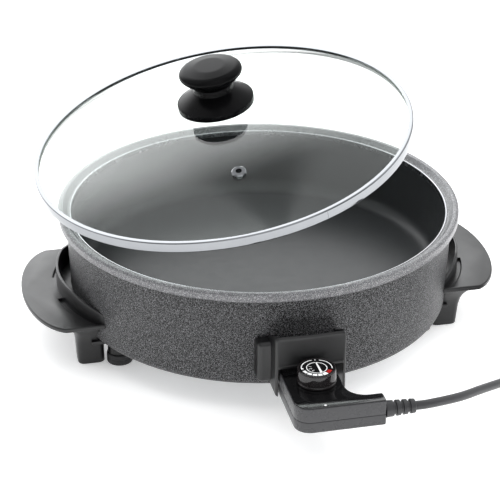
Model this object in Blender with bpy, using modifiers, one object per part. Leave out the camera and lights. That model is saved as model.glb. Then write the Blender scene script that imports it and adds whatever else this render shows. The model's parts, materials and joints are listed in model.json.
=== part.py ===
"""Electric griddle: a round cast pan on feet, with two ear handles, a glass
cover and a plug-in temperature control on a cord.

Metres, +Z up. The pan's axis is vertical, the control plugs in at -Y, the
handles stand out along X and the feet rest on Z = 0.
"""
import math

import bpy
import bmesh
from mathutils import Matrix, Quaternion, Vector

# ------------------------------------------------------------ general
GAP = 0.0003            # clearance between pieces that touch
STEPS = 72              # facets round the large turned pieces
SMALL_STEPS = 24        # facets round the small turned pieces
MERGE = 0.00001         # merge distance of the turned pieces

# ------------------------------------------------------------ pan casting
RIM_R = 0.1900          # outside of the rim
RIM_TOP = 0.1245
RIM_BAND = 0.0080       # height of the smooth band round the rim
LIP_R = 0.1862          # top of the rounded lip
WALL_TOP_R = 0.1832     # outside of the wall just under the rim
WALL_FOOT_R = 0.1803    # outside of the wall above the bottom corner
BASE_Z = 0.0267         # underside of the casting
BASE_CORNER = 0.0085
SKIRT_T = 0.0046        # wall below the cooking floor
OPENING_R = 0.1770      # inside edge of the ledge the cover sits on
RECESS_DEPTH = 0.0040
INNER_FOOT_R = 0.1752   # inside of the wall above the floor corner
FLOOR_Z = 0.0550        # cooking surface
FLOOR_T = 0.0050
FLOOR_CORNER = 0.0140

# ------------------------------------------------------------ heater under the floor
ELEMENT_R = 0.0038      # sheath radius
ELEMENT_RING_R = 0.1100
ELEMENT_GAP_DEG = 30.0  # half of the gap at the front of the ring
TERMINAL_X = 0.0130     # half of the pitch of the two terminals
PIN_R = 0.0020
PIN_TIP_Y = -0.2040
ELEMENT_END_Y = -0.1680
BUSH_IN_R = 0.0023
SOCKET_BORE_R = 0.0028
SOCKET_END_Y = -0.1180
SOCKET_MOUTH_Y = -0.1850
CLIP_ANGLES = (25.0, 90.0, 155.0)
BASE_PLATE_R = 0.1690
BASE_PLATE_T = 0.0012

# ------------------------------------------------------------ feet
FOOT_X = 0.1460
FOOT_Y = 0.0575
FOOT_R = 0.0112
PAD_R = 0.0121
PAD_H = 0.0105
TAB_T = 0.0040          # handle tab held between foot and base plate
SCREW_R = 0.0020
SCREW_HEAD_R = 0.0042
SCREW_HEAD_H = 0.0026

# ------------------------------------------------------------ handles
EAR_CENTRE_X = 0.1890
EAR_HALF_X = 0.0400
EAR_HALF_Y = 0.0840
EAR_END_Y = 0.0820      # the ends of the ear are cut flat here
EAR_TOP = 0.0524
EAR_T = 0.0045
SHIELD_CENTRE_X = 0.0800
SHIELD_R = 0.1155       # outer face of the heat shield
SHIELD_T = 0.0026
SHIELD_TOP = 0.0705
SHIELD_END_TOP = 0.0616  # height of the shield at its two ends
SHIELD_SLOPE_Y = 0.0440  # where the shield's top edge starts to fall
SHIELD_SLOT = 0.0038    # groove between shield and ear, near both ends
SHIELD_WEB_Y = 0.0220   # half of the length where the ear joins the shield
EAR_FLOOR = 0.0018      # floor left under the grooves and beside the pan
LEG_X = 0.1725
LEG_Y = 0.0485
LEG_HALF_X = 0.0125
LEG_HALF_Y = 0.0105

# ------------------------------------------------------------ guard over the socket
GUARD_HALF_X = 0.0315
GUARD_FRONT_Y = -0.2090
GUARD_T = 0.0024
GUARD_TOP = 0.0930
GUARD_FOOT = 0.0340
GUARD_MOUTH_TOP = 0.0625
GUARD_SLOPE = 0.55      # fall of the side walls' top edges towards the pan
GUARD_LUG_OUT_X = 0.0430
GUARD_LUG_FRONT_Y = -0.1905
GUARD_LUG_LOW = 0.0390
GUARD_LUG_HIGH = 0.0790
GUARD_SCREW_X = 0.0370
GUARD_SCREW_Z = 0.0430

# ------------------------------------------------------------ cover
COVER_R = 0.1800        # outside of the steel band
COVER_BAND_H = 0.0097
COVER_BAND_T = 0.0008
COVER_LIP = 0.0036      # how far the band folds in over and under the glass
GLASS_T = 0.0040
GLASS_EDGE_TOP = 0.0082
GLASS_APEX = 0.0456
GLASS_HOLE_R = 0.0042
VENT_RING_R = 0.1086
VENT_ANGLE_DEG = -97.0
VENT_HOLE_R = 0.0044
VENT_FLANGE_R = 0.0066
KNOB_FLANGE_R = 0.0358
KNOB_FLANGE_H = 0.0056
KNOB_NECK_R = 0.0186
KNOB_NECK_TOP = 0.0215
KNOB_CAP_R = 0.0301
KNOB_TOP = 0.0406
KNOB_SCREW_R = 0.0022
KNOB_SEAL_R = 0.0130
# The cover swings from its seat to the raised place about one slanted line.
SWING_POINT = (-0.2792, -0.1543, 0.0511)
SWING_AXIS = (0.3580, -0.8480, 0.3910)
SWING_RAISED_DEG = 11.86

# ------------------------------------------------------------ temperature control
CASE_LEFT = -0.0275
CASE_NECK_RIGHT = 0.0215
CASE_ARM_RIGHT = 0.0505
CASE_BACK = -0.1950
CASE_ARM_BACK = -0.2580
CASE_FRONT = -0.2720
CASE_LOW = 0.0340
CASE_HIGH = 0.0578      # rim round the glossy top plate
CASE_SPLIT = 0.0445
CASE_WALL = 0.0020
CASE_FRONT_CORNER = 0.0140
CASE_BACK_CORNER = 0.0045
CASE_END_CORNER = 0.0014
CASE_FILLET = 0.0175
FASCIA_T = 0.0016
FASCIA_INSET = 0.0007
PROBE_R = 0.0025
PROBE_TIP_Y = -0.1220
PROBE_END_Y = -0.2120
CONTACT_OUT_R = 0.0033
CONTACT_FRONT_Y = -0.2060
CONTACT_BACK_Y = -0.1980
DIAL_Y = -0.2285
DIAL_R = 0.0172
DIAL_H = 0.0135
DIAL_SHAFT_R = 0.0030
DIAL_LABEL_R = 0.0140
RELIEF_Z = 0.0458
RELIEF_R = 0.0074
RELIEF_TIP_R = 0.0064
RELIEF_LENGTH = 0.0268
RELIEF_TAIL_R = 0.0041

# ------------------------------------------------------------ cord
CORD_R = 0.0040
CORD_STEP = 0.0160      # distance between the points along the tube
COIL_X = 0.2780
COIL_Y = -0.1200
COIL_TURN_R = 0.0450    # middle of the turns
COIL_LIFT = 0.0016      # the tie's thickness holds the turns off the table
TIE_T = 0.0010
TIE_W = 0.0120
PLUG_X = 0.3320
PLUG_TIP_Y = -0.1480
PLUG_R = 0.0175
PLUG_BODY_L = 0.0340
PLUG_BOOT_L = 0.0240
PLUG_PIN_R = 0.0024
PLUG_PIN_L = 0.0190
PLUG_PIN_PITCH = 0.0190
# Route of the free stretch, from the strain relief to the coil.
CORD_ROUTE = (
    (0.0780, -0.2650, 0.0458),
    (0.0900, -0.2642, 0.0454),
    (0.1220, -0.2510, 0.0400),
    (0.1490, -0.2320, 0.0330),
    (0.1745, -0.2120, 0.0245),
    (0.1980, -0.1885, 0.0130),
    (0.2130, -0.1680, 0.0066),
    (0.2260, -0.1440, 0.0056),
)

# ------------------------------------------------------------ values that follow from those above
LEDGE_Z = RIM_TOP - RECESS_DEPTH
LEDGE_OUT_R = COVER_R + 0.0009
FLOOR_UNDER = FLOOR_Z - FLOOR_T
ELEMENT_Z = FLOOR_UNDER - GAP - ELEMENT_R
SKIRT_IN_R = WALL_FOOT_R - SKIRT_T
WALL_HOLE_R = ELEMENT_R + GAP
SOCKET_OUT_R = ELEMENT_R
CASE_TOP = CASE_HIGH + FASCIA_T - 0.0009
RELIEF_Y = (CASE_FRONT + CASE_ARM_BACK) / 2
SWING_TURN = Quaternion(Vector(SWING_AXIS), math.radians(SWING_RAISED_DEG))
COVER_SEAT = LEDGE_Z + GAP
TIE_IN = 2 * CORD_R + GAP


def raised(point):
    """Place in the pan's frame of a point of the cover, once it is raised."""
    seat = Vector(point) + Vector((0, 0, COVER_SEAT)) - Vector(SWING_POINT)
    return SWING_TURN @ seat + Vector(SWING_POINT)


def pan_axis_y():
    """Y of the pan's axis that puts the origin midway between front and back."""
    normal = SWING_TURN @ Vector((0, 0, 1))
    reach = COVER_R * math.sqrt(1 - normal.y ** 2)
    low = raised((0, 0, 0)).y
    high = raised((0, 0, COVER_BAND_H)).y
    back = max(RIM_R, max(low, high) + reach)
    return -(CASE_FRONT + back) / 2


PAN_Y = pan_axis_y()


# ------------------------------------------------------------ tools
def clear_scene():
    """Remove every object of the scene that the script starts in."""
    for item in list(bpy.data.objects):
        bpy.data.objects.remove(item, do_unlink=True)


def new_collection(name):
    """Add a collection to the scene."""
    group = bpy.data.collections.new(name)
    bpy.context.scene.collection.children.link(group)
    return group


def material(name, color, roughness, metallic=0.0, alpha=1.0):
    """Principled material of one colour."""
    mat = bpy.data.materials.new(name)
    mat.use_nodes = True
    shader = mat.node_tree.nodes["Principled BSDF"]
    shader.inputs["Base Color"].default_value = (*color, 1.0)
    shader.inputs["Roughness"].default_value = roughness
    shader.inputs["Metallic"].default_value = metallic
    shader.inputs["Alpha"].default_value = alpha
    mat.diffuse_color = (*color, alpha)
    return mat


def add(name, data, mat, parent, group=None):
    """Make an object of a mesh or curve under a parent."""
    piece = bpy.data.objects.new(name, data)
    (group or PARTS).objects.link(piece)
    piece.parent = parent
    if mat is not None:
        data.materials.append(mat)
    if isinstance(data, bpy.types.Mesh):
        data.shade_smooth()
        data.set_sharp_from_angle(angle=math.radians(35))
    return piece


def add_cutter(piece):
    """Turn an object into a hidden cutter."""
    for group in list(piece.users_collection):
        group.objects.unlink(piece)
    CUTTERS.objects.link(piece)
    piece.hide_render = True
    piece.display_type = 'WIRE'
    return piece


def boolean(piece, other, operation):
    """Cut or join a piece with a cutter."""
    step = piece.modifiers.new(operation.title(), 'BOOLEAN')
    step.operation = operation
    step.solver = 'EXACT'
    step.object = add_cutter(other)


def mesh_from(bm, name):
    """Mesh of a bmesh, which is freed."""
    mesh = bpy.data.meshes.new(name)
    bm.to_mesh(mesh)
    bm.free()
    return mesh


def box(name, low, high, mat, parent, bevel=0.0, segments=2):
    """Box between two corners, its edges rounded by a bevel."""
    low, high = Vector(low), Vector(high)
    bm = bmesh.new()
    bmesh.ops.create_cube(bm, size=1.0)
    bmesh.ops.scale(bm, vec=high - low, verts=bm.verts)
    bmesh.ops.translate(bm, vec=(low + high) / 2, verts=bm.verts)
    piece = add(name, mesh_from(bm, name), mat, parent)
    if bevel:
        step = piece.modifiers.new("Bevel", 'BEVEL')
        step.width = bevel
        step.segments = segments
    return piece


def rod(name, start, end, radius, mat, parent, steps=SMALL_STEPS, end_radius=None):
    """Round bar or cone between two points."""
    start, end = Vector(start), Vector(end)
    along = end - start
    bm = bmesh.new()
    tip = radius if end_radius is None else end_radius
    bmesh.ops.create_cone(bm, cap_ends=True, segments=steps, radius1=radius, radius2=tip,
                          depth=along.length)
    turn = Vector((0, 0, 1)).rotation_difference(along).to_matrix().to_4x4()
    bmesh.ops.transform(bm, matrix=Matrix.Translation((start + end) / 2) @ turn, verts=bm.verts)
    return add(name, mesh_from(bm, name), mat, parent)


def turned(name, profile, mat, parent, steps=STEPS, centre=(0, 0, 0), axis=(0, 0, 1)):
    """Solid turned from (radius, height) points that run down its outer side."""
    bm = bmesh.new()
    verts = [bm.verts.new((radius, 0, height)) for radius, height in profile]
    ends_on_axis = profile[0][0] == 0 and profile[-1][0] == 0
    for first, second in zip(verts, verts[1:]):
        bm.edges.new((first, second))
    if not ends_on_axis:
        bm.edges.new((verts[-1], verts[0]))
    piece = add(name, mesh_from(bm, name), mat, parent)
    piece.location = centre
    piece.rotation_mode = 'QUATERNION'
    piece.rotation_quaternion = Vector((0, 0, 1)).rotation_difference(Vector(axis))
    step = piece.modifiers.new("Screw", 'SCREW')
    step.steps = steps
    step.render_steps = steps
    step.use_merge_vertices = True
    step.merge_threshold = MERGE
    step.use_smooth_shade = True
    return piece


def curve_mesh(curve_object):
    """Replace a curve object by a closed mesh object in the same place."""
    bpy.context.view_layer.update()
    graph = bpy.context.evaluated_depsgraph_get()
    mesh = bpy.data.meshes.new_from_object(curve_object.evaluated_get(graph))
    bm = bmesh.new()
    bm.from_mesh(mesh)
    bmesh.ops.remove_doubles(bm, verts=bm.verts, dist=MERGE)
    bm.to_mesh(mesh)
    bm.free()
    name = curve_object.name
    parent = curve_object.parent
    place = curve_object.matrix_basis.copy()
    bpy.data.objects.remove(curve_object, do_unlink=True)
    piece = add(name, mesh, None, parent)
    piece.matrix_basis = place
    return piece


def plate(name, outlines, low, high, mat, parent):
    """Flat piece between two heights, its outline and any holes given as (x, y) points."""
    curve = bpy.data.curves.new(name, 'CURVE')
    curve.dimensions = '2D'
    curve.fill_mode = 'BOTH'
    curve.extrude = (high - low) / 2
    for outline in outlines:
        spline = curve.splines.new('POLY')
        spline.points.add(len(outline) - 1)
        spline.use_cyclic_u = True
        for point, (x, y) in zip(spline.points, outline):
            point.co = (x, y, 0, 1)
    piece = add(name, curve, mat, parent)
    piece.location.z = (low + high) / 2
    return curve_mesh(piece)


def tube(name, points, radius, mat, parent, resolution=2):
    """Round tube along points."""
    curve = bpy.data.curves.new(name, 'CURVE')
    curve.dimensions = '3D'
    curve.bevel_depth = radius
    curve.bevel_resolution = resolution
    curve.use_fill_caps = True
    spline = curve.splines.new('POLY')
    spline.points.add(len(points) - 1)
    for point, place in zip(spline.points, points):
        point.co = (*place, 1)
    return add(name, curve, mat, parent)


def loft(name, sections, mat, parent):
    """Closed solid through sections that have the same number of points, bottom to top."""
    bm = bmesh.new()
    rings = [[bm.verts.new(point) for point in section] for section in sections]
    count = len(rings[0])
    for lower, upper in zip(rings, rings[1:]):
        for i in range(count):
            j = (i + 1) % count
            bm.faces.new((lower[i], lower[j], upper[j], upper[i]))
    bm.faces.new(list(reversed(rings[0])))
    bm.faces.new(rings[-1])
    bmesh.ops.recalc_face_normals(bm, faces=bm.faces)
    return add(name, mesh_from(bm, name), mat, parent)


def arc(cx, cy, radius, start, end, steps):
    """Points of an arc, angles in degrees, both ends included."""
    angles = [math.radians(start + (end - start) * i / steps) for i in range(steps + 1)]
    return [(cx + radius * math.cos(a), cy + radius * math.sin(a)) for a in angles]


def smooth_route(points, step):
    """Evenly spaced points on a smooth curve through the given points."""
    ends = [2 * Vector(points[0]) - Vector(points[1])]
    ends += [Vector(p) for p in points]
    ends.append(2 * Vector(points[-1]) - Vector(points[-2]))
    fine = []
    for a, b, c, d in zip(ends, ends[1:], ends[2:], ends[3:]):
        for i in range(24):
            t = i / 24
            fine.append(0.5 * (2 * b + (c - a) * t + (2 * a - 5 * b + 4 * c - d) * t ** 2
                               + (3 * b - a - 3 * c + d) * t ** 3))
    fine.append(Vector(points[-1]))
    total = sum((q - p).length for p, q in zip(fine, fine[1:]))
    count = max(2, round(total / step))
    spaced = [fine[0]]
    travelled = 0.0
    for p, q in zip(fine, fine[1:]):
        part = (q - p).length
        while len(spaced) < count and travelled + part >= total * len(spaced) / count:
            share = (total * len(spaced) / count - travelled) / part
            spaced.append(p.lerp(q, share))
        travelled += part
    spaced.append(fine[-1])
    return spaced


# ------------------------------------------------------------ pan
def pan_outside(clearance=0.0):
    """Outer profile of the casting from the band down to the bottom, grown by a clearance."""
    band_low = RIM_TOP - RIM_BAND
    corner = arc(WALL_FOOT_R - BASE_CORNER, BASE_Z + BASE_CORNER, BASE_CORNER + clearance, 0, -90, 4)
    return [
        (RIM_R + clearance, RIM_TOP - 0.0035),
        (RIM_R + clearance, band_low - clearance),
        (WALL_TOP_R + clearance, band_low - 0.0012 - clearance),
    ] + corner


def pan_body():
    """Cast aluminium pan with a skirt below its floor and holes for the terminals."""
    ledge_z = LEDGE_Z
    floor_corner = arc(INNER_FOOT_R - FLOOR_CORNER, FLOOR_Z + FLOOR_CORNER, FLOOR_CORNER, -90, 0, 5)
    inside = [(0, FLOOR_Z)] + floor_corner + [
        (OPENING_R, ledge_z - 0.0040),
        (OPENING_R + 0.0006, ledge_z),
        (LEDGE_OUT_R, ledge_z),
        (LEDGE_OUT_R + RECESS_DEPTH * 0.95, RIM_TOP - 0.0003),
        (LIP_R, RIM_TOP),
        (RIM_R - 0.0012, RIM_TOP - 0.0011),
    ]
    skirt = [
        (SKIRT_IN_R - BASE_CORNER + 0.0030, BASE_Z),
        (SKIRT_IN_R - BASE_CORNER + 0.0030, BASE_Z + 0.0030),
        (SKIRT_IN_R, BASE_Z + BASE_CORNER),
        (SKIRT_IN_R, FLOOR_UNDER),
        (0, FLOOR_UNDER),
    ]
    pan = turned("pan_body", inside + pan_outside() + skirt, CAST, BASE)
    for x in (-TERMINAL_X, 0.0, TERMINAL_X):
        drill(pan, x, ELEMENT_Z, WALL_HOLE_R)
    drill(pan, -GUARD_SCREW_X, GUARD_SCREW_Z, SCREW_R + GAP)
    return pan


def drill(pan, x, z, radius):
    """Hole through the front wall of the pan, along Y."""
    cutter = rod("hole", (x, -WALL_FOOT_R - 0.01, z), (x, -SKIRT_IN_R + 0.02, z), radius, None, BASE, 16)
    boolean(pan, cutter, 'DIFFERENCE')


def heating_element():
    """Sheathed tube bent to a ring under the floor, both ends turned to the front."""
    start_deg = -90 + ELEMENT_GAP_DEG
    ring = arc(0, 0, ELEMENT_RING_R, start_deg, 270 - ELEMENT_GAP_DEG, 40)
    bend = 0.020
    end = Vector((TERMINAL_X, ELEMENT_END_Y + 0.034))
    first = Vector(ring[0])
    tangent = Vector((-math.sin(math.radians(start_deg)), math.cos(math.radians(start_deg))))
    a, b, c, d = end, end + Vector((0, bend)), first - tangent * bend, first
    lead = [(TERMINAL_X, ELEMENT_END_Y), (TERMINAL_X, ELEMENT_END_Y + 0.017)]
    for i in range(8):
        t = i / 8
        spot = a * (1 - t) ** 3 + b * 3 * t * (1 - t) ** 2 + c * 3 * t ** 2 * (1 - t) + d * t ** 3
        lead.append(tuple(spot))
    back = [(-x, y) for x, y in reversed(lead)]
    path = [(x, y, ELEMENT_Z) for x, y in lead + ring + back]
    tube("heating_element", path, ELEMENT_R, STEEL, BASE)


def terminals():
    """Two terminal pins in ceramic bushes, and the socket for the control's probe."""
    for side, word in ((-1, "left"), (1, "right")):
        x = side * TERMINAL_X
        rod("terminal_pin_" + word, (x, ELEMENT_END_Y - GAP, ELEMENT_Z), (x, PIN_TIP_Y, ELEMENT_Z),
            PIN_R, NICKEL, BASE, 16)
        sleeve("terminal_bush_" + word, (x, 0, ELEMENT_Z), -0.1700, -0.1850, BUSH_IN_R, ELEMENT_R, CERAMIC)
    bore = SOCKET_BORE_R
    length = SOCKET_END_Y - SOCKET_MOUTH_Y
    profile = [(0, length), (SOCKET_OUT_R, length), (SOCKET_OUT_R, 0), (bore, 0), (bore, length - 0.002),
               (0, length - 0.002)]
    turned("probe_socket", profile, BRASS, BASE, 16, (0, SOCKET_MOUTH_Y, ELEMENT_Z), (0, 1, 0))


def sleeve(name, centre, start_y, end_y, inner, outer, mat, parent=None):
    """Open tube along Y between two places."""
    length = abs(end_y - start_y)
    profile = [(inner, length), (outer, length), (outer, 0), (inner, 0)]
    place = (centre[0], min(start_y, end_y), centre[2])
    return turned(name, profile, mat, parent or BASE, 16, place, (0, 1, 0))


def element_clips():
    """Clamps that press the element against the floor."""
    for number, angle in enumerate(CLIP_ANGLES, 1):
        name = "element_clip_%d" % number
        low = ELEMENT_Z - ELEMENT_R - 0.0030
        clip = box(name, (-0.014, -0.006, low), (0.014, 0.006, FLOOR_UNDER - GAP), STEEL, BASE, 0.0006, 1)
        spot = Vector((ELEMENT_RING_R, 0, 0))
        place = Matrix.Rotation(math.radians(angle), 4, 'Z') @ Matrix.Translation(spot)
        clip.data.transform(place)
        profile = [(ELEMENT_RING_R + (ELEMENT_R + GAP) * math.cos(a), ELEMENT_Z + (ELEMENT_R + GAP) * math.sin(a))
                   for a in (math.radians(90 - 45 * i) for i in range(8))]
        groove = turned(name + "_groove", profile, None, BASE, 180)
        boolean(clip, groove, 'DIFFERENCE')
        slot_low = (ELEMENT_RING_R - ELEMENT_R - GAP, -0.02, ELEMENT_Z)
        slot_high = (ELEMENT_RING_R + ELEMENT_R + GAP, 0.02, FLOOR_UNDER + 0.01)
        slot = box(name + "_slot", slot_low, slot_high, None, BASE)
        slot.data.transform(Matrix.Rotation(math.radians(angle), 4, 'Z'))
        boolean(clip, slot, 'DIFFERENCE')


def base_plate():
    """Steel cover disc that closes the hollow under the floor."""
    low = BASE_Z + 0.0004
    high = low + BASE_PLATE_T
    profile = [(0, high), (BASE_PLATE_R, high), (BASE_PLATE_R, low), (0, low)]
    disc = turned("base_plate", profile, STEEL, BASE)
    for x in (-FOOT_X, FOOT_X):
        for y in (-FOOT_Y, FOOT_Y):
            hole = rod("hole", (x, y, low - 0.01), (x, y, high + 0.01), SCREW_R + GAP, None, BASE, 16)
            boolean(disc, hole, 'DIFFERENCE')


def feet():
    """Four posts with soft pads, each with the screw that holds it and a handle's tab."""
    tab_low = BASE_Z - TAB_T
    for x, side in ((-FOOT_X, "left"), (FOOT_X, "right")):
        for y, end in ((-FOOT_Y, "front"), (FOOT_Y, "back")):
            tail = "_%s_%s" % (end, side)
            bore = SCREW_R + GAP
            head = SCREW_HEAD_R + GAP
            top = tab_low - GAP
            step = PAD_H + GAP + SCREW_HEAD_H + 0.0006
            post = [(bore, top), (FOOT_R, top), (FOOT_R, PAD_H + GAP), (head, PAD_H + GAP), (head, step),
                    (bore, step)]
            turned("foot" + tail, post, BAKELITE, BASE, SMALL_STEPS, (x, y, 0))
            pad = [(0, PAD_H), (PAD_R - 0.0008, PAD_H), (PAD_R, PAD_H - 0.0012), (PAD_R, 0.0012),
                   (PAD_R - 0.0012, 0), (0, 0)]
            turned("foot_pad" + tail, pad, RUBBER, BASE, SMALL_STEPS, (x, y, 0))
            low = PAD_H + 2 * GAP
            under = low + SCREW_HEAD_H
            high = BASE_Z + BASE_PLATE_T + 0.0030
            screw = [(0, high), (SCREW_R, high), (SCREW_R, under), (SCREW_HEAD_R, under), (SCREW_HEAD_R, low),
                     (0, low)]
            turned("foot_screw" + tail, screw, NICKEL, BASE, 16, (x, y, 0))


# ------------------------------------------------------------ handles
def ear_outline(side):
    """Plan of the ear: half ellipse, flat ends, and the inner edge along the shield."""
    reach = math.degrees(math.asin(EAR_END_Y / EAR_HALF_Y))
    outer = [(EAR_CENTRE_X + (x - EAR_CENTRE_X) * EAR_HALF_X / EAR_HALF_Y, y)
             for x, y in arc(EAR_CENTRE_X, 0, EAR_HALF_Y, -reach, reach, 20)]
    ends = [(EAR_CENTRE_X - 0.034, EAR_END_Y), (EAR_CENTRE_X - 0.034, -EAR_END_Y)]
    return [(side * x, y) for x, y in outer + ends]


def slot_outline(side, end):
    """Plan of the narrow slot between the shield and the ear near one end."""
    inner = SHIELD_R
    outer = SHIELD_R + SHIELD_SLOT
    first = math.degrees(math.asin(SHIELD_WEB_Y / outer))
    last = math.degrees(math.asin((EAR_END_Y - 0.0038) / outer))
    near = arc(SHIELD_CENTRE_X, 0, outer, first, last, 6)
    far = arc(SHIELD_CENTRE_X, 0, inner, last, first, 6)
    return [(side * x, end * y) for x, y in near + far]


def shield_outline(side):
    """Plan of the heat shield: a thin arc that bows away from the pan."""
    reach = math.degrees(math.asin(EAR_END_Y / SHIELD_R))
    outer = arc(SHIELD_CENTRE_X, 0, SHIELD_R, -reach, reach, 20)
    inner = arc(SHIELD_CENTRE_X, 0, SHIELD_R - SHIELD_T, reach, -reach, 20)
    return [(side * x, y) for x, y in outer + inner]


def rounded_section(cx, cy, half_x, half_y, radius, z):
    """Rounded rectangle at one height."""
    points = []
    for sx, sy, start in ((1, 1, 0), (-1, 1, 90), (-1, -1, 180), (1, -1, 270)):
        centre_x = cx + sx * (half_x - radius)
        centre_y = cy + sy * (half_y - radius)
        points += [(x, y, z) for x, y in arc(centre_x, centre_y, radius, start, start + 90, 3)]
    return points


def leg(side, end):
    """Strut from the floor to the ear, flared at its top."""
    heights = ((0.0, 0.0, 0.0), (0.022, 0.0010, 0.0015), (0.036, 0.0025, 0.0060), (EAR_TOP - 0.0015, 0.0060, 0.0130))
    sections = []
    for z, out, along in heights:
        cx = side * (LEG_X + out)
        cy = end * (LEG_Y + along)
        sections.append(rounded_section(cx, cy, LEG_HALF_X + out * 0.5, LEG_HALF_Y + along * 0.5, 0.0060, z))
    return loft("leg", sections, None, BASE)


def handle(side, word):
    """Moulded handle: flat ear, heat shield, two legs and a tab to each foot."""
    ear = plate("handle_" + word, [ear_outline(side)], EAR_TOP - EAR_T, EAR_TOP, BAKELITE, BASE)
    ear.data.materials.append(BAKELITE)
    shield = plate("shield", [shield_outline(side)], EAR_TOP - EAR_T, SHIELD_TOP, None, BASE)
    for end in (-1, 1):
        falling = [(end * SHIELD_SLOPE_Y, SHIELD_TOP), (end * (EAR_END_Y + 0.001), SHIELD_END_TOP),
                   (end * (EAR_END_Y + 0.001), SHIELD_TOP + 0.01), (end * SHIELD_SLOPE_Y, SHIELD_TOP + 0.01)]
        boolean(shield, prism("falling_edge", falling, -0.25, 0.25), 'DIFFERENCE')
    well = ear_well(side)
    boolean(ear, well, 'DIFFERENCE')
    boolean(ear, shield, 'UNION')
    for end in (-1, 1):
        boolean(ear, leg(side, end), 'UNION')
        groove_floor = EAR_TOP - EAR_T + EAR_FLOOR
        cut = plate("slot", [slot_outline(side, end)], groove_floor, EAR_TOP + 0.002, None, BASE)
        boolean(ear, cut, 'DIFFERENCE')
        inner = side * (FOOT_X - FOOT_R)
        outer = side * LEG_X
        low = (min(inner, outer), end * FOOT_Y - 0.0075, BASE_Z - TAB_T)
        high = (max(inner, outer), end * FOOT_Y + 0.0075, BASE_Z - GAP)
        boolean(ear, box("tab", low, high, None, BASE), 'UNION')
        hole = rod("hole", (side * FOOT_X, end * FOOT_Y, 0), (side * FOOT_X, end * FOOT_Y, 0.04),
                   SCREW_R + GAP, None, BASE, 16)
        boolean(ear, hole, 'DIFFERENCE')
    boolean(ear, pan_envelope(), 'DIFFERENCE')
    return ear


def ear_well(side):
    """Room between the shield and the pan, taken out of the ear."""
    reach = math.degrees(math.asin(EAR_END_Y / (SHIELD_R - SHIELD_T)))
    arc_points = arc(SHIELD_CENTRE_X, 0, SHIELD_R - SHIELD_T / 2, -reach, reach, 20)
    start = (EAR_CENTRE_X - 0.050, -EAR_END_Y * 0.985)
    end = (EAR_CENTRE_X - 0.050, EAR_END_Y * 0.985)
    outline = [(side * x, y) for x, y in [start] + arc_points + [end]]
    return plate("well", [outline], EAR_TOP - EAR_T + EAR_FLOOR, EAR_TOP + 0.004, None, BASE)


def prism(name, outline, low_x, high_x):
    """Straight prism along X through an outline of (y, z) points."""
    sections = [[(x, y, z) for y, z in outline] for x in (low_x, high_x)]
    return loft(name, sections, None, BASE)


def pan_envelope():
    """Space the casting takes, grown by the clearance to its neighbours."""
    above = [(0, RIM_TOP + 0.010), (RIM_R + GAP, RIM_TOP + 0.010)]
    below = [(0, BASE_Z - GAP)]
    return turned("pan_space", above + pan_outside(GAP) + below, None, BASE)


def probe_guard():
    """Guard round the socket: apron, two sides that fall towards the pan and a lug on the left."""
    low = (-GUARD_HALF_X, GUARD_FRONT_Y, GUARD_FOOT)
    high = (GUARD_HALF_X, -0.1500, GUARD_TOP)
    guard = box("probe_guard", low, high, BAKELITE, BASE, 0.0022, 2)
    lug = box("lug", (-GUARD_LUG_OUT_X, GUARD_LUG_FRONT_Y, GUARD_LUG_LOW),
              (0.001 - GUARD_HALF_X, -0.1500, GUARD_LUG_HIGH), None, BASE, 0.0042, 3)
    boolean(guard, lug, 'UNION')
    crest_y = GUARD_FRONT_Y + 0.0035
    falling = [(crest_y, GUARD_TOP), (-0.1400, GUARD_TOP - GUARD_SLOPE * (-0.1400 - crest_y)),
               (-0.1400, GUARD_TOP + 0.01), (crest_y, GUARD_TOP + 0.01)]
    boolean(guard, prism("falling_sides", falling, -0.06, 0.06), 'DIFFERENCE')
    inner_x = GUARD_HALF_X - GUARD_T
    hollow = box("hollow", (-inner_x, GUARD_FRONT_Y + GUARD_T, GUARD_FOOT - 0.01),
                 (inner_x, -0.1400, GUARD_TOP + 0.01), None, BASE)
    boolean(guard, hollow, 'DIFFERENCE')
    mouth = box("mouth", (-inner_x, GUARD_FRONT_Y - 0.01, GUARD_FOOT - 0.01),
                (inner_x, GUARD_FRONT_Y + 0.01, GUARD_MOUTH_TOP), None, BASE)
    boolean(guard, mouth, 'DIFFERENCE')
    boolean(guard, pan_envelope(), 'DIFFERENCE')
    x = -GUARD_SCREW_X
    hole = rod("hole", (x, -0.16, GUARD_SCREW_Z), (x, GUARD_LUG_FRONT_Y + 0.0025, GUARD_SCREW_Z),
               SCREW_R + GAP, None, BASE, 16)
    boolean(guard, hole, 'DIFFERENCE')
    head_y = -math.sqrt(SKIRT_IN_R ** 2 - (GUARD_SCREW_X + SCREW_HEAD_R) ** 2) + GAP
    length = head_y + SCREW_HEAD_H - (GUARD_LUG_FRONT_Y + 0.0030)
    under = length - SCREW_HEAD_H
    profile = [(0, length), (SCREW_HEAD_R, length), (SCREW_HEAD_R, under), (SCREW_R, under), (SCREW_R, 0),
               (0, 0)]
    turned("guard_screw", profile, NICKEL, BASE, 16,
           (x, GUARD_LUG_FRONT_Y + 0.0030, GUARD_SCREW_Z), (0, 1, 0))


# ------------------------------------------------------------ cover
def glass_radius():
    """Radius of the sphere that the glass follows."""
    rise = GLASS_APEX - GLASS_EDGE_TOP
    edge = COVER_R - COVER_BAND_T - COVER_LIP
    return (edge ** 2 + rise ** 2) / (2 * rise)


def glass_top(r):
    """Height of the glass's upper face at a radius, in the cover's frame."""
    ball = glass_radius()
    return GLASS_APEX - ball + math.sqrt(ball ** 2 - r ** 2)


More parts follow.
